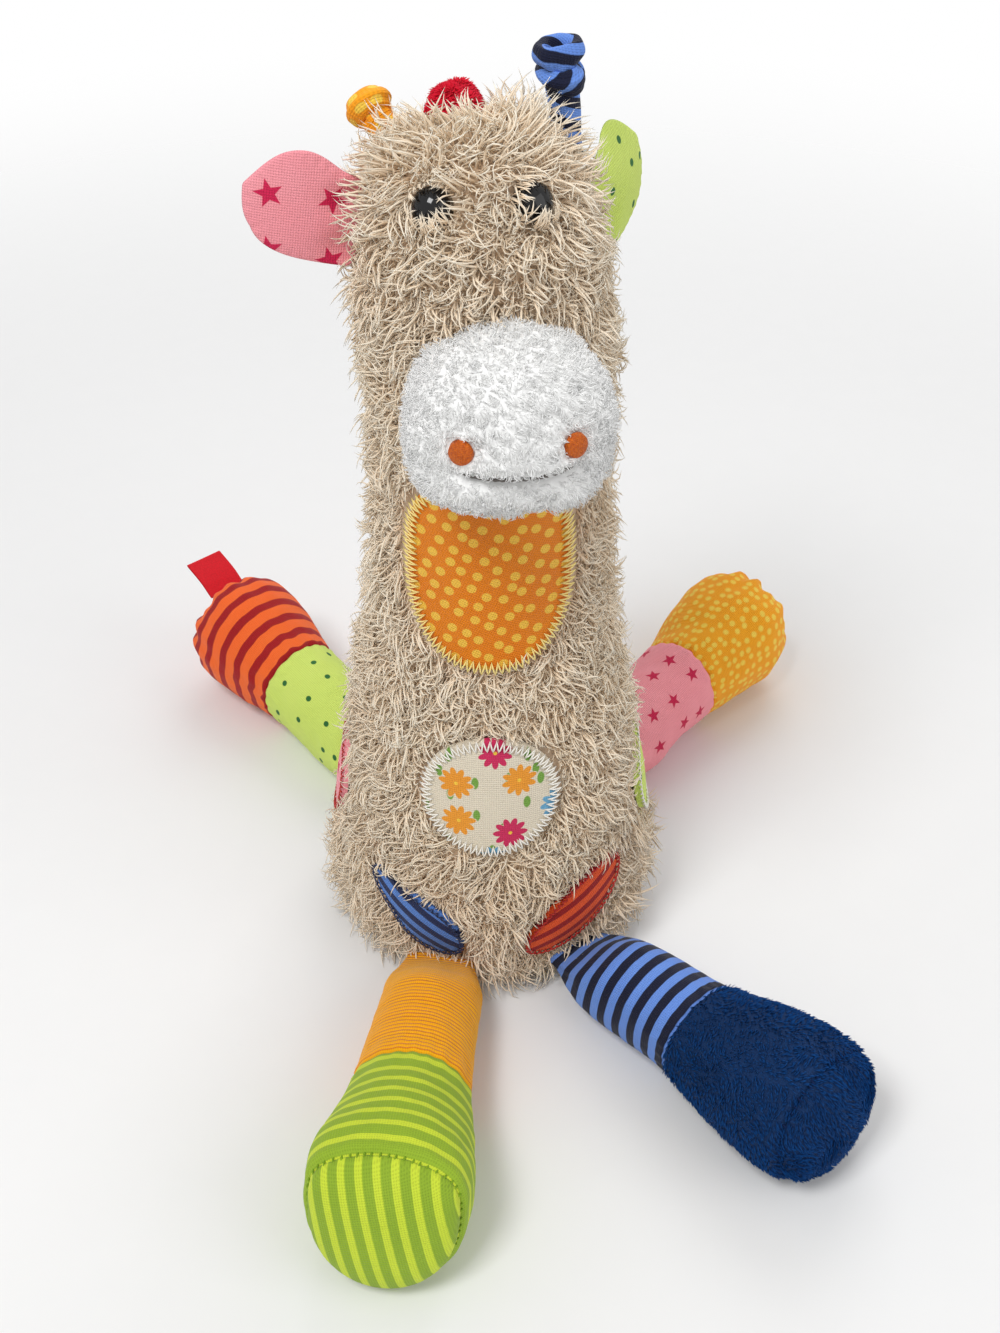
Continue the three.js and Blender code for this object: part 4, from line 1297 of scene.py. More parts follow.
    def foot_grid(self) -> tuple[Array, Array]:
        """Places of the foot's cloth up to the sole seam, or up to its gathered middle.

        A gathered end has folds that run to the middle: waves around, strongest near the rim of the end,
        which move the cloth in and out and along the leg.

        Returns:
            Points of shape (rows, columns, 3) and the walked distance of each row.
        """
        walk, angle = self.outline.walk, self.angle
        end = self.rim if self.sole else self.upper + self.foot - 0.15
        part = walk[(walk[:, 1] >= self.upper) & (walk[:, 1] <= end)]
        walked = distances(part)
        steps = np.linspace(0, walked[-1], 130)
        radius, along = (np.interp(steps, walked, column)[:, None] for column in part.T)
        wide = self.soften(along, angle, radius)
        if self.sole:
            wide = wide + 0.5 * bump_at(along, end - 2.2, 2.0) - 1.0 * bump_at(along, end, 1.0)
        else:
            fold = np.cos(angle * 10 + 1.7 * np.sin(angle * 3 + self.seed))
            wave = fold * 0.6 + 0.4 * np.cos(angle * 17 + self.seed)
            share = radius / self.foot_r
            rounded = smooth(along, self.upper + 25, self.upper + 45)
            wide = wide + wave * 1.5 * bump_at(share, 0.82, 0.16) * rounded
            along = along + wave * 1.9 * bump_at(share, 0.55, 0.28) - 2.2 * (1 - smooth(radius, 0, 8))
            wide = np.maximum(wide, 0.05)
        return self.laid(along, angle, wide), steps

    def build_foot(self, finish: Material, slot: str) -> Piece:
        """The foot's cloth.

        Args:
            finish: material of the cloth.
            slot: its material slot.

        Returns:
            The foot.
        """
        points, steps = self.foot_grid()
        cloth = self.rows_cloth(steps, TAU * self.foot_r * 0.93)
        made = surface(f"{self.name}_foot", points, finish, cloth)
        return self.carry(made, slot, f"foot_{self.name}")

    def sole_grid(self) -> tuple[Array, Array]:
        """A domed cap: radius rim_r * cos(a)^0.9, bulge * sin(a)^0.8 beyond the seam, a from rim to middle.

        Returns:
            Points of shape (rows, columns, 3) and flat places of shape (rows, columns, 2).
        """
        a, angle = np.linspace(0, math.pi / 2 * 0.985, 46)[:, None], self.angle
        radius = self.rim_r * np.cos(a) ** 0.9 + 0 * angle
        pull = 0.25 * (1 - smooth(a, 0, 0.5)) * np.cos(angle * 21 + self.seed)
        along = self.rim + 0.2 + self.sole_bulge * np.sin(a) ** 0.8 + pull
        wide, slant = self.cornered(along, angle, radius), angle + math.radians(self.sole_slant)
        flat = np.stack([wide * np.sin(slant), wide * np.cos(slant)], -1)
        return self.laid(along, angle, radius), flat

    def build_sole(self, finish: Material, slot: str, thread: Material) -> list[Piece]:
        """The sole panel and the short stitches over its seam.

        Args:
            finish: material of the cloth.
            slot: its material slot.
            thread: material of the stitches.

        Returns:
            The panel and the stitches.
        """
        points, flat = self.sole_grid()
        cap = surface(f"{self.name}_sole", points, finish, seamed(flat))
        self.carry(cap, slot, f"sole_{self.name}")
        count, share = self.sole_stitches, np.linspace(0, 1, 5)
        jitter = np.random.default_rng(self.seed).uniform(-0.2, 0.2, count)
        angle = (np.arange(count) + jitter) / count * TAU
        along = self.rim - 1.3 + 3.0 * share + np.zeros((count, 1))
        radius = self.rim_r - 0.1 + 0.9 * np.sin(share * math.pi) - 0.8 * share
        paths = self.laid(along, angle[:, None] + 0.03 * (share - 0.5), radius + np.zeros((count, 1)))
        stitches = strands(f"{self.name}_sole_stitches", paths, np.full(count, 0.4), thread,
                           np.full(count, 0.5), sides=4)
        return [cap, claim(stitches, slot, f"{self.name}_leg")]

    def build_velour(self, finish: Material, slot: str) -> list[Piece]:
        """Short dense pile on the foot and its sole.

        Args:
            finish: material of the pile.
            slot: its material slot.

        Returns:
            The pile of foot and sole.
        """
        made = []
        ahead = turn_z(np.array([[1.0, 0, -0.35]]), self.azimuth + self.yaw)
        for part, (points, _), share in (("foot", self.foot_grid(), 0.72), ("sole", self.sole_grid(), 0.28)):
            place, out = scatter(points, int(self.velour * share), self.seed)
            paths, radius, shade = self.nap.grow(place, out, np.broadcast_to(ahead, place.shape), self.seed)
            piece = strands(f"{self.name}_{part}_velour", paths, radius, finish, shade)
            made.append(claim(piece, slot, f"{self.name}_leg"))
        return made


HEAD_TURN = 7.0
SIDES = ((-1, "left"), (1, "right"))


@dataclass(frozen=True)
class Stand:
    """A local frame: a place and three directions."""

    origin: tuple[float, float, float]
    x: tuple[float, float, float]
    y: tuple[float, float, float]
    z: tuple[float, float, float]

    def out(self, points: Array) -> Array:
        """Carry local points into the toy's frame."""
        return points @ np.array([self.x, self.y, self.z]) + np.array(self.origin)


def stand_on(origin: Array, normal: Array) -> Stand:
    """A frame on a surface whose third direction is the normal and whose first is level."""
    level = unit(np.cross([0.0, 0.0, 1.0], normal))
    return Stand(tuple(origin), tuple(level), tuple(np.cross(normal, level)), tuple(normal))


@dataclass
class Muzzle:
    """White fleece nose with a drawn-in mouth line and two stitched nostrils."""

    column: Column
    centre: tuple[float, float, float] = (0.0, -50.0, 256.0)
    half: tuple[float, float, float] = (33.0, 30.0, 28.5)
    pile_depth: float = 1.6
    squareness: float = 3.0
    mouth_width: float = 36.0
    mouth_height: float = 250.0
    mouth_dip: float = 0.4
    nostril_spacing: float = 36.0
    nostril_height: float = 259.0
    nostril_r: float = 4.0
    threads: int = 12500
    mouth_front: float = -66.0
    mouth_sink: float = 3.2
    mouth_thread: float = 0.6
    fleece = Pelt(length=3.4, radius=0.18, rise=58, rest=8, swirl=90, curl=200, stray=70, clump=0.6,
                  clump_of=8, steps=4)

    def front(self, x: Array, z: Array) -> tuple[Array, Array]:
        """Places on the front of the nose at sideways and upward places, and its outward directions.

        Args:
            x: sideways places.
            z: heights.

        Returns:
            The places and the directions.
        """
        x, z = np.broadcast_arrays(np.asarray(x, float), np.asarray(z, float))
        a, b, c = self.half
        up = (z - self.centre[2]) / c
        deep = np.sqrt(np.maximum(1 - (x / a) ** 2 - up ** 2, 0))
        place = np.stack([x, self.centre[1] - b * deep, z], -1)
        return place, unit(np.stack([x / a ** 2, -deep / b, up / c], -1))

    def line(self, x: Array) -> Array:
        """Height of the mouth line at a sideways place."""
        return self.mouth_height - self.mouth_dip * (1 - (x / (self.mouth_width / 2)) ** 2)

    def nostrils(self) -> list[tuple[str, Array, Array]]:
        """Name, place and outward direction of each nostril.

        Returns:
            The left one and the right one.
        """
        spots = []
        for side, name in SIDES:
            place, normal = self.front(side * self.nostril_spacing / 2, self.nostril_height)
            spots.append((name, place, normal))
        return spots

    def grid(self) -> Array:
        """The knitted ground of the nose.

        An ellipsoid about the line from back to front, moved in by the pile depth, whose lower half is
        squared off like a power ellipse. The mouth is a furrow along its line, the lip under it is fuller,
        and each nostril sits in a dimple. Small curls of the fleece lift it everywhere.

        Returns:
            Points of shape (rows, columns, 3), before the turn of the head.
        """
        a, angle = np.linspace(0.02, math.pi - 0.02, 150)[:, None], full_turn(190)
        half = np.array(self.half) - self.pile_depth
        face = packed(np.sin(a) * np.cos(angle), np.cos(a), np.sin(a) * np.sin(angle))
        points = face * half + np.array(self.centre)
        out = unit(face / half)
        c, s, n = np.abs(np.cos(angle)), np.abs(np.sin(angle)), self.squareness
        block = 1 + ((c ** n + s ** n) ** (-1 / n) - 1) * smooth(-np.sin(angle), 0, 0.4)
        points[..., 0::2] = (points - self.centre)[..., 0::2] * block[:, None] + np.array(self.centre)[0::2]
        x, z = points[..., 0], points[..., 2]
        ahead = smooth(-points[..., 1], 50, 66)
        reach = 1 - smooth(np.abs(x), self.mouth_width / 2 - 5, self.mouth_width / 2 + 7)
        off = z - self.line(x)
        furrow = ahead * reach * (4.2 * bump_at(off, 0, 1.7) + 1.4 * bump_at(off, -1.5, 5))
        chin = 1.8 * bump_at(off, -9, 6) * (1 - smooth(np.abs(x), 16, 30))
        lip = ahead * (1.3 * bump_at(off, 5, 4) * reach + chin)
        lumps = sum(high * ripple(points, seed, long)
                    for high, seed, long in ((0.6, 3, 22.0), (0.5, 4, 8.0), (0.35, 5, 4.2)))
        dimple = sum(2.4 * np.exp(-((points - place) ** 2).sum(-1) / 60) for _, place, _ in self.nostrils())
        return points + out * (lip + lumps - furrow - dimple)[..., None]

    def near(self, points: Array) -> tuple[Array, Array]:
        """How far points of the column lie outside the nose, and the way away from it.

        Args:
            points: places of the roots.

        Returns:
            Gaps and directions.
        """
        local = turn_z(points, -HEAD_TURN) - np.array(self.centre)
        size = np.linalg.norm(local / (np.array(self.half) - 2.0), axis=-1)
        gap = np.where(points[:, 1] < 0, (size - 1) * self.half[0], 99.0)
        return gap, unit(turn_z(local * np.array([1, 0.2, 1]), HEAD_TURN))

    def build(self, ground: Material, fleece: Material, satin: Material,
              thread: Material) -> list[Piece]:
        """The ground, its fleece, the mouth thread and the nostrils.

        Args:
            ground: material under the fleece.
            fleece: material of the fleece.
            satin: material of the nostrils.
            thread: material of the mouth line.

        Returns:
            The pieces.
        """
        grid = self.grid()
        base = surface("muzzle_skin", turn_z(grid, HEAD_TURN), ground)
        claim(base, "white_plush", "head", "muzzle_cover", fill=0.9)
        place, out = scatter(grid, self.threads, 21)
        clear = np.hypot(place[:, 0], place[:, 1]) > self.column.radius(place[:, 2]) - 4
        keep = clear & ~self.on_mouth(place, 1.5, 0)
        down = np.array([0.0, -0.3, -1.0]) + 0 * out[keep]
        paths, radius, shade = self.fleece.grow(place[keep], out[keep], down, 31)
        bare = ~self.covered(paths)
        fluff = strands("muzzle_fleece", turn_z(paths[bare], HEAD_TURN), radius[bare], fleece, shade[bare])
        claim(fluff, "white_plush", "head")
        return [base, fluff, self.mouth(thread), *(self.nostril(*spot, satin) for spot in self.nostrils())]

    def on_mouth(self, points: Array, tall: float, short: float) -> Array:
        """Which points lie on the mouth line.

        Args:
            points: places on the nose.
            tall: half the line's height.
            short: length left off each end.

        Returns:
            True for each point on it.
        """
        x, y, z = np.moveaxis(points, -1, 0)
        level = np.abs(z - self.line(x)) < tall
        return level & (y < self.mouth_front) & (np.abs(x) < self.mouth_width / 2 - short)

    def covered(self, paths: Array) -> Array:
        """Which threads of the fleece would hang over the mouth line or a nostril.

        Args:
            paths: paths of the threads.

        Returns:
            True for each of these.
        """
        over = self.on_mouth(paths, 0.9, 1).any(axis=1)
        for _, place, normal in self.nostrils():
            off = paths - place
            beside = off - (off @ normal)[..., None] * normal
            over |= (np.linalg.norm(off, axis=-1) < 9).any(axis=1) \
                & (np.linalg.norm(beside, axis=-1) < self.nostril_r - 0.1).any(axis=1)
        return over

    def mouth(self, thread: Material) -> Piece:
        """The thread in the mouth line: a tube whose width ripples like a plied cord.

        Args:
            thread: its material.

        Returns:
            The thread.
        """
        x = np.linspace(-0.5, 0.5, 160) * self.mouth_width
        place, normal = self.front(x, self.line(x))
        path, x = turn_z(place - normal * self.mouth_sink, HEAD_TURN), x[:, None]
        plied = self.mouth_thread * (1 + 0.16 * np.cos(2 * full_turn(8) - x * 2.6))
        wide = plied * np.sqrt(np.maximum(1 - (x / (self.mouth_width / 2)) ** 8, 0.02))
        made = surface("mouth_thread", tube(path, wide, 8), thread)
        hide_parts("mouth_stitch")
        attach(made, "head")
        return made

    def nostril(self, name: str, place: Array, normal: Array, satin: Material) -> Piece:
        """A low dome of close threads: height falls to the rim as 1 - s^2, with a ridge for each thread.

        Args:
            name: side of the nose.
            place: middle of the dome.
            normal: direction out of the nose.
            satin: its material.

        Returns:
            The nostril.
        """
        share = np.linspace(1, 0.03, 26)[:, None]
        flat = (share * self.nostril_r)[..., None] * on_circle(full_turn(64))
        ridge = 0.16 * np.abs(np.sin(flat[..., 0] * math.pi / 0.75 + 0.5 * np.sin(flat[..., 1])))
        height = 0.9 * (1 - share ** 2) + ridge * (1 - share ** 6) - 1.5 - 1.4 * smooth(share, 0.88, 1)
        local = np.concatenate([flat, height[..., None]], axis=-1)
        points = turn_z(stand_on(place, normal).out(local), HEAD_TURN)
        made = surface(f"nostril_satin_{name}", points, satin, seamed(flat))
        return claim(made, "orange_thread", "head", f"nostril_{name}")


@dataclass
class Eyes:
    """Two glossy domes set into the pile."""

    column: Column
    spacing: float = 33.0
    height: float = 314.0
    radius: float = 6.0
    dome: float = 4.4
    sink: float = 2.4
    settled: float = 0.9
    lid_threads: tuple[int, int] = (24, 44)

    def stands(self) -> list[tuple[str, Stand]]:
        """Frames of the eyes on the column, which is steep there.

        Returns:
            Side and frame of each eye.
        """
        full = float(self.column.radius(self.height))
        rise = -float(self.column.outline.slope(self.height))
        made = []
        for side, name in SIDES:
            x = side * self.spacing / 2
            level = np.array([x, -math.sqrt(full ** 2 - x ** 2), 0]) / full
            normal = unit(level + np.array([0, 0, rise]))
            place = self.column.leaned(level * full + np.array([0, 0, self.height]))
            made.append((name, stand_on(turn_z(place, HEAD_TURN), turn_z(normal, HEAD_TURN))))
        return made

    def near(self, points: Array) -> tuple[Array, Array]:
        """How far roots of the pile lie outside the eyes, over which the lids close."""
        far = [np.linalg.norm(points - np.array(stand.origin), axis=-1) for _, stand in self.stands()]
        return np.min(far, axis=0) - self.radius - 0.1, np.array([0, 0, -1.0]) + 0 * points

    def covered(self, paths: Array) -> Array:
        """Which threads of the pile would hang before the middle of an eye.

        Args:
            paths: paths of the threads.

        Returns:
            True for each of these.
        """
        over = np.zeros(len(paths), bool)
        for _, stand in self.stands():
            off = paths - np.array(stand.origin)
            beside = np.hypot(off @ np.array(stand.x), off @ np.array(stand.y))
            over |= ((beside < 0.7 * self.radius) & (off @ np.array(stand.z) > -self.radius)).any(axis=1)
        return over

    def lid(self, name: str, stand: Stand, pile: Material) -> Piece:
        """Pile that hangs over the top of an eye, and pile that stands up before its lower half.

        Threads start on an arc beside the eye, run towards its middle by their length and lie on an ellipsoid
        a little larger than the dome.

        Args:
            name: side of the eye.
            stand: frame of the eye.
            pile: material of the threads.

        Returns:
            The threads.
        """
        rng = np.random.default_rng(61)
        share, count = np.linspace(0, 1, 7), sum(self.lid_threads)
        upper, lower = self.lid_threads
        inner = rng.uniform(-150, -20, lower)
        start = np.concatenate([rng.uniform(20, 160, upper), inner if name == "left" else 180 - inner])
        start = np.radians(start)[:, None]
        ring = self.radius + rng.uniform(0.2, 2.2, (count, 1))
        fall = np.concatenate([rng.uniform(1.8, 3.8, upper), rng.uniform(3.2, 5.6, lower)])[:, None]
        heading = start + rng.normal(size=(count, 1)) * 0.6
        drift = rng.normal(size=(count, 1)) * share ** 1.5
        x = ring * np.cos(start) - fall * np.cos(heading) * share ** 1.1 + drift
        y = ring * np.sin(start) - fall * np.sin(heading) * share ** 1.1
        over = np.sqrt(np.maximum(1 - (x * x + y * y) / (self.radius + 2.6) ** 2, 0))
        z = (self.dome + 1.3) * over - self.sink - self.settled
        z = z + rng.uniform(0, 0.7, (count, 1)) * share - 1.2 * (1 - smooth(share, 0, 0.3))
        radius, shade = rng.uniform(0.2, 0.36, count), rng.uniform(0.1, 0.7, count)
        made = strands(f"eye_lid_{name}", stand.out(np.stack([x, y, z], -1)), radius, pile, shade)
        return claim(made, "beige_plush", "head")

    def build(self, finish: Material, pile: Material) -> list[Piece]:
        """Domes turned from a quarter ellipse with a short straight rim, and their lids.

        Args:
            finish: material of the domes.
            pile: material of the lids.

        Returns:
            The domes and the lids.
        """
        made = []
        a = np.linspace(0, math.pi / 2 * 0.98, 30)[:, None]
        wide = np.concatenate([[[self.radius]], self.radius * np.cos(a)])
        high = np.concatenate([[[-3.0]], self.dome * np.sin(a)]) - self.sink - self.settled
        angle = full_turn(72)
        local = packed(wide * np.cos(angle), wide * np.sin(angle), high)
        for name, stand in self.stands():
            dome = surface(f"eye_dome_{name}", stand.out(local), finish)
            claim(dome, "eye_plastic", "head", f"eye_{name}")
            made += [dome, self.lid(name, stand, pile)]
        return made


@dataclass
class Ear:
    """Two panels of cloth sewn round their rim over thin wadding."""

    side: str
    stand: Stand
    slot: str
    length: float = 33.0
    peak_x: float = 16.0
    peak: float = 22.0
    corner: float = 9.5
    low_x: float = 30.0
    low: float = 4.0
    root_top: float = 15.5
    root_bottom: float = 14.0
    tucked: float = 6.0
    puff: float = 2.5
    cup: float = 2.0
    shift: tuple[float, float] = (0.0, 0.0)

    def rim(self, count: int) -> Array:
        """Rim points: five cubic curves from the lower root round the corner and the peak and back.

        Args:
            count: how many points.

        Returns:
            Even points along the rim.
        """
        end, px, pk, lx, bottom = self.length, self.peak_x, self.peak, self.low_x, self.root_bottom
        curves = [
            [(0, -bottom), (0.5 * lx, -bottom), (0.9 * lx, -0.85 * bottom), (lx, -self.low)],
            [(lx, -self.low), (end, 0), (end, self.low), (end, self.corner)],
            [(end, self.corner), (0.8 * end, 0.8 * pk), (1.4 * px, pk), (px, pk)],
            [(px, pk), (0.6 * px, pk), (0.3 * px, self.root_top), (0, self.root_top)],
            [(0, self.root_top), (-self.tucked, self.root_top), (-self.tucked, -bottom), (0, -bottom)]]
        t = np.linspace(0, 1, 40)[:, None]
        bend = np.concatenate([(1 - t) ** 3, 3 * (1 - t) ** 2 * t, 3 * (1 - t) * t * t, t ** 3], axis=1)
        walk = np.concatenate([(bend @ np.array(points, float))[:-1] for points in curves])
        walk = np.concatenate([walk, walk[:1]])
        far = distances(walk)
        even = np.arange(count) / count * far[-1]
        return np.stack([np.interp(even, far, axis) for axis in walk.T], -1)

    def build(self, finish: Material) -> Piece:
        """A pillow: rings from the middle of one panel over the rim to the middle of the other.

        Its half thickness is puff * (1 - s^2)^0.7 at share s of the way to the rim, thin at the root, and
        the whole is cupped by the square of the height.

        Args:
            finish: material of the cloth.

        Returns:
            The ear.
        """
        rim = self.rim(132)
        middle = np.array([0.45 * self.length, 2.0])
        share = np.concatenate([np.linspace(0.02, 1, 34), np.linspace(1, 0.02, 34)[1:]])[:, None]
        face = np.concatenate([np.ones(34), -np.ones(33)])[:, None]
        flat = middle + share[..., None] * (rim - middle)
        x, z = flat[..., 0], flat[..., 1]
        thick = 0.12 + self.puff * (1 - share ** 2) ** 0.7 * smooth(x, -6, 10)
        thick = np.where(share >= 1, 0, thick)
        pucker = 0.22 * bump_at(share, 0.93, 0.07) * np.cos(full_turn(len(rim)) * 31)
        wave = 0.9 * np.cos(z * 0.42) * (1 - smooth(x, 0, 14))
        bend = self.cup * (z / self.peak) ** 2 * smooth(x, 0, 20)
        local = packed(x, face * thick * (1 + pucker) + wave + bend - 0.4, z)
        cloth = seamed(flat) - np.array(self.shift)
        made = surface(f"{self.side}_ear_cloth", self.stand.out(local), finish, cloth)
        panels = f"ear_{self.side}_front", f"ear_{self.side}_back"
        return claim(made, self.slot, f"{self.side}_ear", *panels, fill=0.4)


@dataclass
class Horn:
    """A sewn tube tied in a knot near its end."""

    side: str
    stand: Stand
    slot: str
    stem: float = 17.0
    stem_r: float = 4.8
    waist: float = 3.6
    wrap_tube: float = 3.1
    wrap_r: float = 4.3
    wrap_turns: float = 1.3
    wrap_tilt: float = 20.0
    flare_r: float = 7.0
    flare: float = 10.0
    slant: float = 0.0

    def build(self, finish: Material) -> list[Piece]:
        """The tube with its flared, tucked-in end, and the turn of cloth that ties it."""
        made = ((self.build_tube(finish), [f"horn_{self.side}"]), (self.build_wrap(finish), []))
        return [claim(piece, self.slot, f"{self.side}_horn", *nodes, fill=0.7) for piece, nodes in made]

    def build_tube(self, finish: Material) -> Piece:
        """A turned tube that narrows in the knot, flares out in two lobes and rolls into its own opening.

        Args:
            finish: material of the cloth.

        Returns:
            The tube.
        """
        knot, top = self.stem, self.stem + self.flare
        r, wide, tall = self.stem_r, self.flare_r, self.flare
        outline = Outline([(r + 0.8, -3), (r, 4), (r + 0.2, knot - 4.5), (self.waist, knot),
                           (wide * 0.8, knot + 0.35 * tall), (wide, knot + 0.68 * tall), (wide * 0.86, top),
                           (wide * 0.55, top - 0.4), (wide * 0.36, top - 3), (1.0, top - 5.5)])
        radius, up = np.moveaxis(outline.at(np.linspace(0, 1, 150)), -1, 0)
        walked = distances(packed(radius, up))[:, None]
        radius, up, angle = radius[:, None], up[:, None], full_turn(64)
        share = smooth(up, knot + 1, knot + 0.6 * tall)
        lobes = 0.15 * np.cos(2 * angle + 0.5) + 0.06 * np.cos(3 * angle + 2.0) + 0.03 * np.cos(7 * angle)
        crease = 0.4 * np.cos(angle * 9 + up * 0.2) * bump_at(up, knot, 6)
        wide = radius * (1 + share * lobes) + crease * smooth(radius, 2, 4)
        points = packed(wide * np.cos(angle) + 0.6 * np.sin(up * 0.16), wide * np.sin(angle), up)
        turn = np.linspace(0, 1, 65) * TAU * self.stem_r
        cloth = packed(walked + self.slant * turn, turn)
        return surface(f"{self.side}_horn_tube", self.stand.out(points), finish, cloth)

    def build_wrap(self, finish: Material) -> Piece:
        """A flat turn of the same cloth, as a tilted helix with folds along it and its ends tucked in.

        Args:
            finish: material of the cloth.

        Returns:
            The turn.
        """
        share = np.linspace(0, 1, 120)
        angle = share * TAU * self.wrap_turns - 2.2
        tucked = 1 - 0.5 * (1 - smooth(share, 0, 0.12)) - 0.5 * smooth(share, 0.88, 1)
        ring = self.wrap_r * tucked
        climb = (share - 0.5) * 3.0 + math.tan(math.radians(self.wrap_tilt)) * ring * np.sin(angle)
        path = np.stack([ring * np.cos(angle), ring * np.sin(angle), self.stem + climb], -1)
        around, share = full_turn(32), share[:, None]
        fold = 1 + 0.08 * np.cos(around * 5 + 3 * share) + 0.05 * np.cos(around * 8 - 9 * share)
        wide = self.wrap_tube * fold * (0.75 + 0.25 * tucked[:, None])
        turn = np.linspace(0, 1, 33) * TAU * self.wrap_tube
        cloth = packed(share * TAU * self.wrap_r * self.wrap_turns + self.slant * turn, turn)
        return surface(f"{self.side}_horn_wrap", self.stand.out(tube(path, wide, 32)), finish, cloth)


@dataclass
class Tuft:
    """Red plush tip of the mane on the crown."""

    centre: tuple[float, float, float] = (-8.0, 16.0, 322.0)
    half: tuple[float, float, float] = (10.0, 14.0, 11.0)
    threads: int = 5000
    nap = Pelt(length=2.0, radius=0.22, rise=60, rest=20, curl=40, stray=40, clump=0.2, steps=4)

    def near(self, points: Array) -> tuple[Array, Array]:
        """How far roots of the pile lie outside the tuft, and the way away from it.

        Args:
            points: places of the roots.

        Returns:
            Gaps and directions.
        """
        local = turn_z(points, -HEAD_TURN) - np.array(self.centre)
        size = np.linalg.norm(local / np.array(self.half), axis=-1)
        return (size - 1) * self.half[0], unit(turn_z(local, HEAD_TURN))

    def build(self, ground: Material, pile: Material) -> list[Piece]:
        """An ellipsoid about +Z under short pile.

        Args:
            ground: material under the pile.
            pile: material of the pile.

        Returns:
            The ground and its pile.
        """
        a, angle = np.linspace(math.pi - 0.03, 0.03, 50)[:, None], full_turn(72)
        face = packed(np.sin(a) * np.cos(angle), np.sin(a) * np.sin(angle), np.cos(a))
        points = face * (np.array(self.half) - 1.4) + np.array(self.centre)
        points = turn_z(points + face * (0.5 * ripple(points, 8, 12.0))[..., None], HEAD_TURN)
        base = surface("mane_skin", points, ground)
        place, out = scatter(points, self.threads, 41)
        paths, radius, shade = self.nap.grow(place, out, np.array([0.0, 0.0, -1.0]) + 0 * out, 43)
        return [claim(base, "red_plush", "head", "mane_tuft", fill=0.8),
                claim(strands("mane_pile", paths, radius, pile, shade), "red_plush", "head")]


@dataclass
class Tag:
    """A plain ribbon, folded in half and sewn into the end of a foot."""

    stand: Stand
    width: float = 18.0
    length: float = 21.0
    gap: float = 0.5

    def build(self, finish: Material) -> Piece:
        """A sheet that goes out, turns round a half circle and comes back, with a slight wave.

        Args:
            finish: material of the ribbon.

        Returns:
            The ribbon.
        """
        bow = self.length - 1.2
        t = np.linspace(-1, 1, 81)
        turn = np.clip(t / 0.12, -1, 1) * math.pi / 2
        straight = bow * np.clip((1 - np.abs(t)) / 0.88, 0, 1)
        along = straight + 1.1 * np.cos(turn) * (np.abs(t) < 0.12)
        wave = 0.7 * np.sin(along / self.length * 4.0)
        lift = self.gap * 1.1 * np.sin(turn) + wave * smooth(along, 0, 8)
        across = np.linspace(0.5, -0.5, 19) * self.width
        edge = 0.12 * bump_at(np.abs(across), self.width / 2 - 1.2, 0.35)
        local = packed(along[:, None], across, lift[:, None] + edge * np.sign(lift - wave)[:, None])
        walked = distances(packed(along, lift))
        cloth = packed(walked[:, None], across)
        made = surface("label_ribbon", self.stand.out(local), finish, cloth, False, (False, False))
        return claim(made, "red_ribbon", "tag", "label_tag")


@dataclass(frozen=True)
class Gloss:
    """Smooth moulded plastic."""

    name: str
    colour: Screen
    rough: float

    def material(self) -> Material:
        """Even colour with faint flow marks and a coat.

        Returns:
            The material.
        """
        make = Recipe(self.name, Coat_Weight=0.25, Coat_Roughness=0.03, Specular_IOR_Level=0.25)
        cloud, colour = make.noise(make.place(), 160.0, 3), srgb(*self.colour)
        make.feed("Base Color", make.mix(cloud, colour, tuple(part * 0.8 for part in colour)))
        make.feed("Roughness", self.rough + cloud * 0.05)
        return make.material


# The fourth colour of the beige pile is painted shade on its lower part.
BEIGE_PILE = Pile("beige_pile", (242, 216, 184), (255, 236, 210), (255, 248, 232), (232, 225, 218), sheen=1.0)
WHITE_PILE = Pile("white_fleece", (246, 246, 245), (252, 252, 251), (254, 254, 254))
RED_PILE = Pile("red_pile", (200, 12, 40), (234, 26, 56), (246, 48, 76), sheen=0.05)
NAVY_PILE = Pile("navy_velour", (0, 42, 90), (0, 58, 118), (2, 76, 146), sheen=0.0)
# The backing's beige darkened as painted shade, standing for the shade deep under the pile where the skin
# shows.
BACKING_PAINTED_SHADE = Cloth("beige_backing_painted_shade", (192, 166, 138), (212, 186, 158))
WHITE_BACKING = Cloth("white_backing", (248, 248, 247), (252, 252, 251))
RED_BACKING = Cloth("red_backing", (170, 12, 34), (196, 18, 42))
NAVY_BACKING = Cloth("navy_backing", (0, 36, 78), (2, 50, 100), sheen=0.0)
ORANGE_SATIN = Cloth("orange_satin", (228, 124, 8), (242, 188, 66), Print.DOTS, pitch=5.6, size=1.68,
                     loose=0.36, sheen=0.0, rough=0.42)
ORANGE_DOTS = Cloth("orange_dots", (255, 166, 26), (255, 212, 80), Print.DOTS, 4.6, 1.35, 0.5)
GOLD_THREAD = Cloth("gold_thread", (255, 240, 168), (240, 208, 108), rough=0.4, weave=0.5)
PALE_THREAD = Cloth("pale_thread", (252, 250, 245), (238, 232, 220), rough=0.5, weave=0.5)
NAVY_THREAD = Cloth("navy_thread", (24, 34, 66), (34, 48, 88), rough=0.5, weave=0.5)
RED_THREAD = Cloth("red_thread", (166, 24, 26), (190, 44, 30), rough=0.5, weave=0.5)
# Grey of the mouth thread: the thread's own grey, darkened as painted shade of the mouth crease.
GREY_THREAD = Cloth("grey_thread", (92, 86, 82), (116, 110, 106), rough=0.7, weave=0.5)
GREEN_STITCH = Pile("green_stitch", (88, 120, 20), (120, 155, 34), (150, 184, 48))
NAVY_STITCH = Pile("navy_stitch", (8, 24, 60), (14, 38, 84), (20, 48, 100))
CREAM_PRINT = Cloth("cream_flowers", (229, 218, 197), (206, 44, 92), Print.FLOWERS, pitch=17.5, size=6.4,
                    loose=0.7, second=(240, 156, 50), third=(112, 172, 208))
BLUE_STRIPE = Cloth("blue_stripe", (4, 12, 42), (104, 146, 230), Print.BANDS, pitch=7.4, size=3.7)
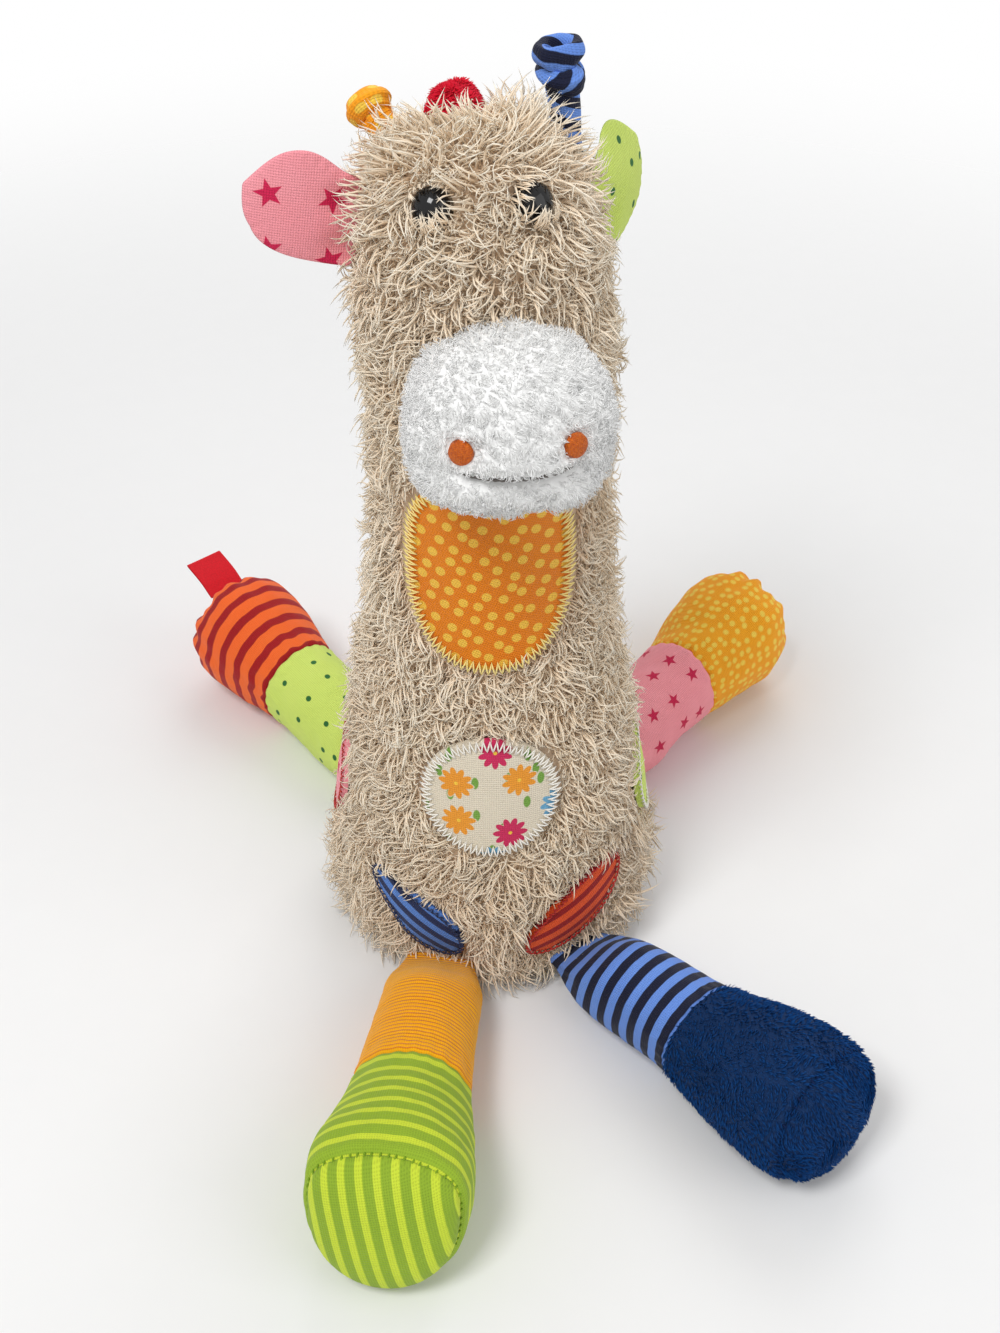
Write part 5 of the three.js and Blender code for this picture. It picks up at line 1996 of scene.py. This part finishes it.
BLUE_LEAF = Cloth("blue_leaf", (26, 38, 78), (84, 128, 206), Print.BANDS, pitch=6.0, size=3.0, across=True)
RED_STRIPE = Cloth("red_stripe", (160, 14, 20), (250, 106, 40), Print.BANDS, pitch=9.2, size=5.3)
RED_LEAF = Cloth("red_leaf", (150, 20, 20), (232, 84, 34), Print.BANDS, pitch=6.2, size=3.4, across=True)
GREEN_STRIPE = Cloth("green_stripe", (150, 182, 46), (208, 226, 58), Print.BANDS, pitch=6.8, size=2.5)
GREEN_SOLE = Cloth("green_sole", (144, 176, 44), (204, 224, 58), Print.BANDS, 6.0, 2.6, across=True)
PINK_STARS = Cloth("pink_stars", (254, 156, 166), (204, 26, 74), Print.STARS, 15.0, 3.7, 0.35)
PINK_EAR = Cloth("pink_ear", (254, 156, 166), (210, 28, 78), Print.STARS, pitch=19.0, size=4.8, loose=0.15)
LIME_DOTS = Cloth("lime_dots", (210, 232, 110), (40, 104, 48), Print.DOTS, pitch=14.5, size=1.3, loose=0.5)
# The darker second colour of the corduroy is painted shade in the furrows.
CORDUROY = Cloth("corduroy", (255, 176, 6), (222, 120, 0), Print.RIBS, pitch=1.75, sheen=0.2, rough=0.9)
RED_RIBBON = Cloth("red_ribbon", (230, 4, 30), (214, 2, 24), rough=0.6, weave=0.45, sheen=0.0)
ORANGE_THREAD = Cloth("orange_thread", (214, 104, 14), (184, 78, 6), rough=0.5, weave=0.5)
FILLING = Cloth("cream_filling", (226, 202, 174), (240, 218, 190))
EYE_BLACK = Gloss("eye_black", (12, 12, 14), 0.06)
WASHER_WHITE = Gloss("washer_white", (225, 225, 220), 0.35)


def dress_inside() -> None:
    """Give the pieces that stay hidden inside their finishes."""
    filling, washer = FILLING.material(), WASHER_WHITE.material()
    for name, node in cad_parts.items():
        if "filling" in name or "washer" in name:
            node.data.materials.clear()
            node.data.materials.append(filling if "filling" in name else washer)


def build_patches(column: Column) -> list[Patch]:
    """Sew the six patches on the column.

    Args:
        column: the column that carries them.

    Returns:
        The patches.
    """
    oval, leaf = Shape.OVAL, Shape.LEAF
    sewn = (
        (Patch(column, "neck_patch", "orange_satin", Shape.BIB, -90, 187, 58, 72, grain=24, stitch_width=5.0,
               body=None, stitched=True), ORANGE_SATIN, GOLD_THREAD),
        (Patch(column, "tummy_patch", "cream_print", oval, -90, 99, 51, 48, stitched=True),
         CREAM_PRINT, PALE_THREAD),
        (Patch(column, "hip_patch_left", "blue_stripe", leaf, -119, 38, 52, 19, tilt=-37, taper=0.3, grain=-6,
               depth=2.2, stitch_width=2.0), BLUE_LEAF, NAVY_THREAD),
        (Patch(column, "hip_patch_right", "red_stripe", leaf, -57, 38, 56, 22, tilt=37, grain=14, depth=2.2,
               stitch_width=2.0), RED_LEAF, RED_THREAD),
        (Patch(column, "side_patch_left", "pink_star", oval, 180, 66, 32, 38, stitch_width=2.0),
         PINK_STARS, RED_THREAD),
        (Patch(column, "side_patch_right", "lime_dot", oval, 0, 66, 32, 38, stitch_width=2.0),
         LIME_DOTS, PALE_THREAD))
    for patch, cloth, thread in sewn:
        report(patch.build(cloth.material(), thread.material()))
    return [patch for patch, _, _ in sewn]


def build_legs(column: Column) -> None:
    """Make the four legs, each of two cloths.

    Args:
        column: the column that carries them.
    """
    front_left = Leg(column, "front_left", -109, 12, 17.5, 21, 28, 64, 66, 0.34, True, corners=0.1, ribs=1.75,
                     seed=2)
    front_right = Leg(column, "front_right", -57, 11, 17, 19, 26.5, 62, 66, 0.1, True, corners=0.03,
                      velour=8500, seed=4)
    back_left = Leg(column, "back_left", 131, 0, 18, 20.5, 26.5, 72, 58, seed=6)
    back_right = Leg(column, "back_right", 50, 0, 18, 20.5, 27, 72, 60, seed=8)
    navy, filling = NAVY_BACKING.material(), FILLING.material()
    report([front_left.build_upper(CORDUROY.material(), "corduroy"),
            front_left.build_foot(GREEN_STRIPE.material(), "green_stripe"),
            *front_left.build_sole(GREEN_SOLE.material(), "green_stripe", GREEN_STITCH.material()),
            front_right.build_upper(BLUE_STRIPE.material(), "blue_stripe"),
            front_right.build_foot(navy, "navy_plush"),
            *front_right.build_sole(navy, "navy_plush", NAVY_STITCH.material()),
            *front_right.build_velour(NAVY_PILE.material(), "navy_plush"),
            back_left.build_upper(LIME_DOTS.material(), "lime_dot"),
            back_left.build_foot(RED_STRIPE.material(), "red_stripe"),
            back_right.build_upper(PINK_STARS.material(), "pink_star"),
            back_right.build_foot(ORANGE_DOTS.material(), "orange_dot"),
            *(leg.build_wadding(filling) for leg in (front_left, front_right, back_left, back_right))])


def build_head(muzzle: Muzzle, eyes: Eyes, tuft: Tuft) -> None:
    """Make everything that sits on the head.

    Args:
        muzzle: the nose.
        eyes: the eyes.
        tuft: tip of the mane.
    """
    report(muzzle.build(WHITE_BACKING.material(), WHITE_PILE.material(), ORANGE_THREAD.material(),
                        GREY_THREAD.material()))
    report(eyes.build(EYE_BLACK.material(), BEIGE_PILE.material()))
    left_ear = Ear("left", Stand((-42.25, -5.19, 297.02), (-0.98146, -0.12051, 0.14902),
                                 (0.12187, -0.99255, 0), (0.14791, 0.01816, 0.98883)),
                   "pink_star", shift=(3.4, 5.6))
    right_ear = Ear("right", Stand((35.12, 11.31, 292.04), (0.43428, 0.88498, 0.16798),
                                   (-0.87059, 0.46023, -0.17394), (-0.23125, -0.0707, 0.97032)), "lime_dot")
    left_horn = Horn("left", Stand((-30.36, 17.45, 316.0), (-0.52654, 0.36869, -0.76604),
                                   (-0.57358, -0.81915, 0), (-0.62751, 0.43939, 0.64279)),
                     "orange_dot", stem=10.0, waist=4.6, wrap_r=3.8, wrap_tube=3.7, flare_r=5.0, flare=4.5)
    right_horn = Horn("right", Stand((23.8, 17.8, 312.0), (0.83408, 0.54166, 0.10453),
                                     (-0.54464, 0.83867, 0), (-0.08766, -0.05693, 0.99452)),
                      "blue_stripe", stem=23.0, slant=0.5)
    report([left_ear.build(PINK_EAR.material()), right_ear.build(LIME_DOTS.material()),
            *left_horn.build(ORANGE_DOTS.material()), *right_horn.build(BLUE_STRIPE.material()),
            *tuft.build(RED_BACKING.material(), RED_PILE.material())])


def report(pieces: list[Piece]) -> None:
    """Log the name and the face count of each piece."""
    for piece in pieces:
        log.info("%s: %d faces", piece.name, len(piece.data.polygons))


def main() -> None:
    """Build the studio and the toy, and log the face count of each piece."""
    logging.basicConfig(level=logging.INFO)
    Studio().build()
    dress_inside()
    column = Column()
    report([column.skin(BACKING_PAINTED_SHADE.material()), *column.wadding(FILLING.material())])
    patches = build_patches(column)
    build_legs(column)
    muzzle, eyes, tuft = Muzzle(column), Eyes(column), Tuft()
    build_head(muzzle, eyes, tuft)
    tag = Tag(Stand((-124.78, 143.54, 43.06), (-0.59934, 0.68946, 0.40674), (-0.75471, -0.65606, 0),
                    (0.26684, -0.30697, 0.91355)))
    report([tag.build(RED_RIBBON.material())])
    report(column.fur(BEIGE_PILE.material(), [*patches, muzzle, eyes, tuft], eyes))


if __name__ == "__main__":
    main()
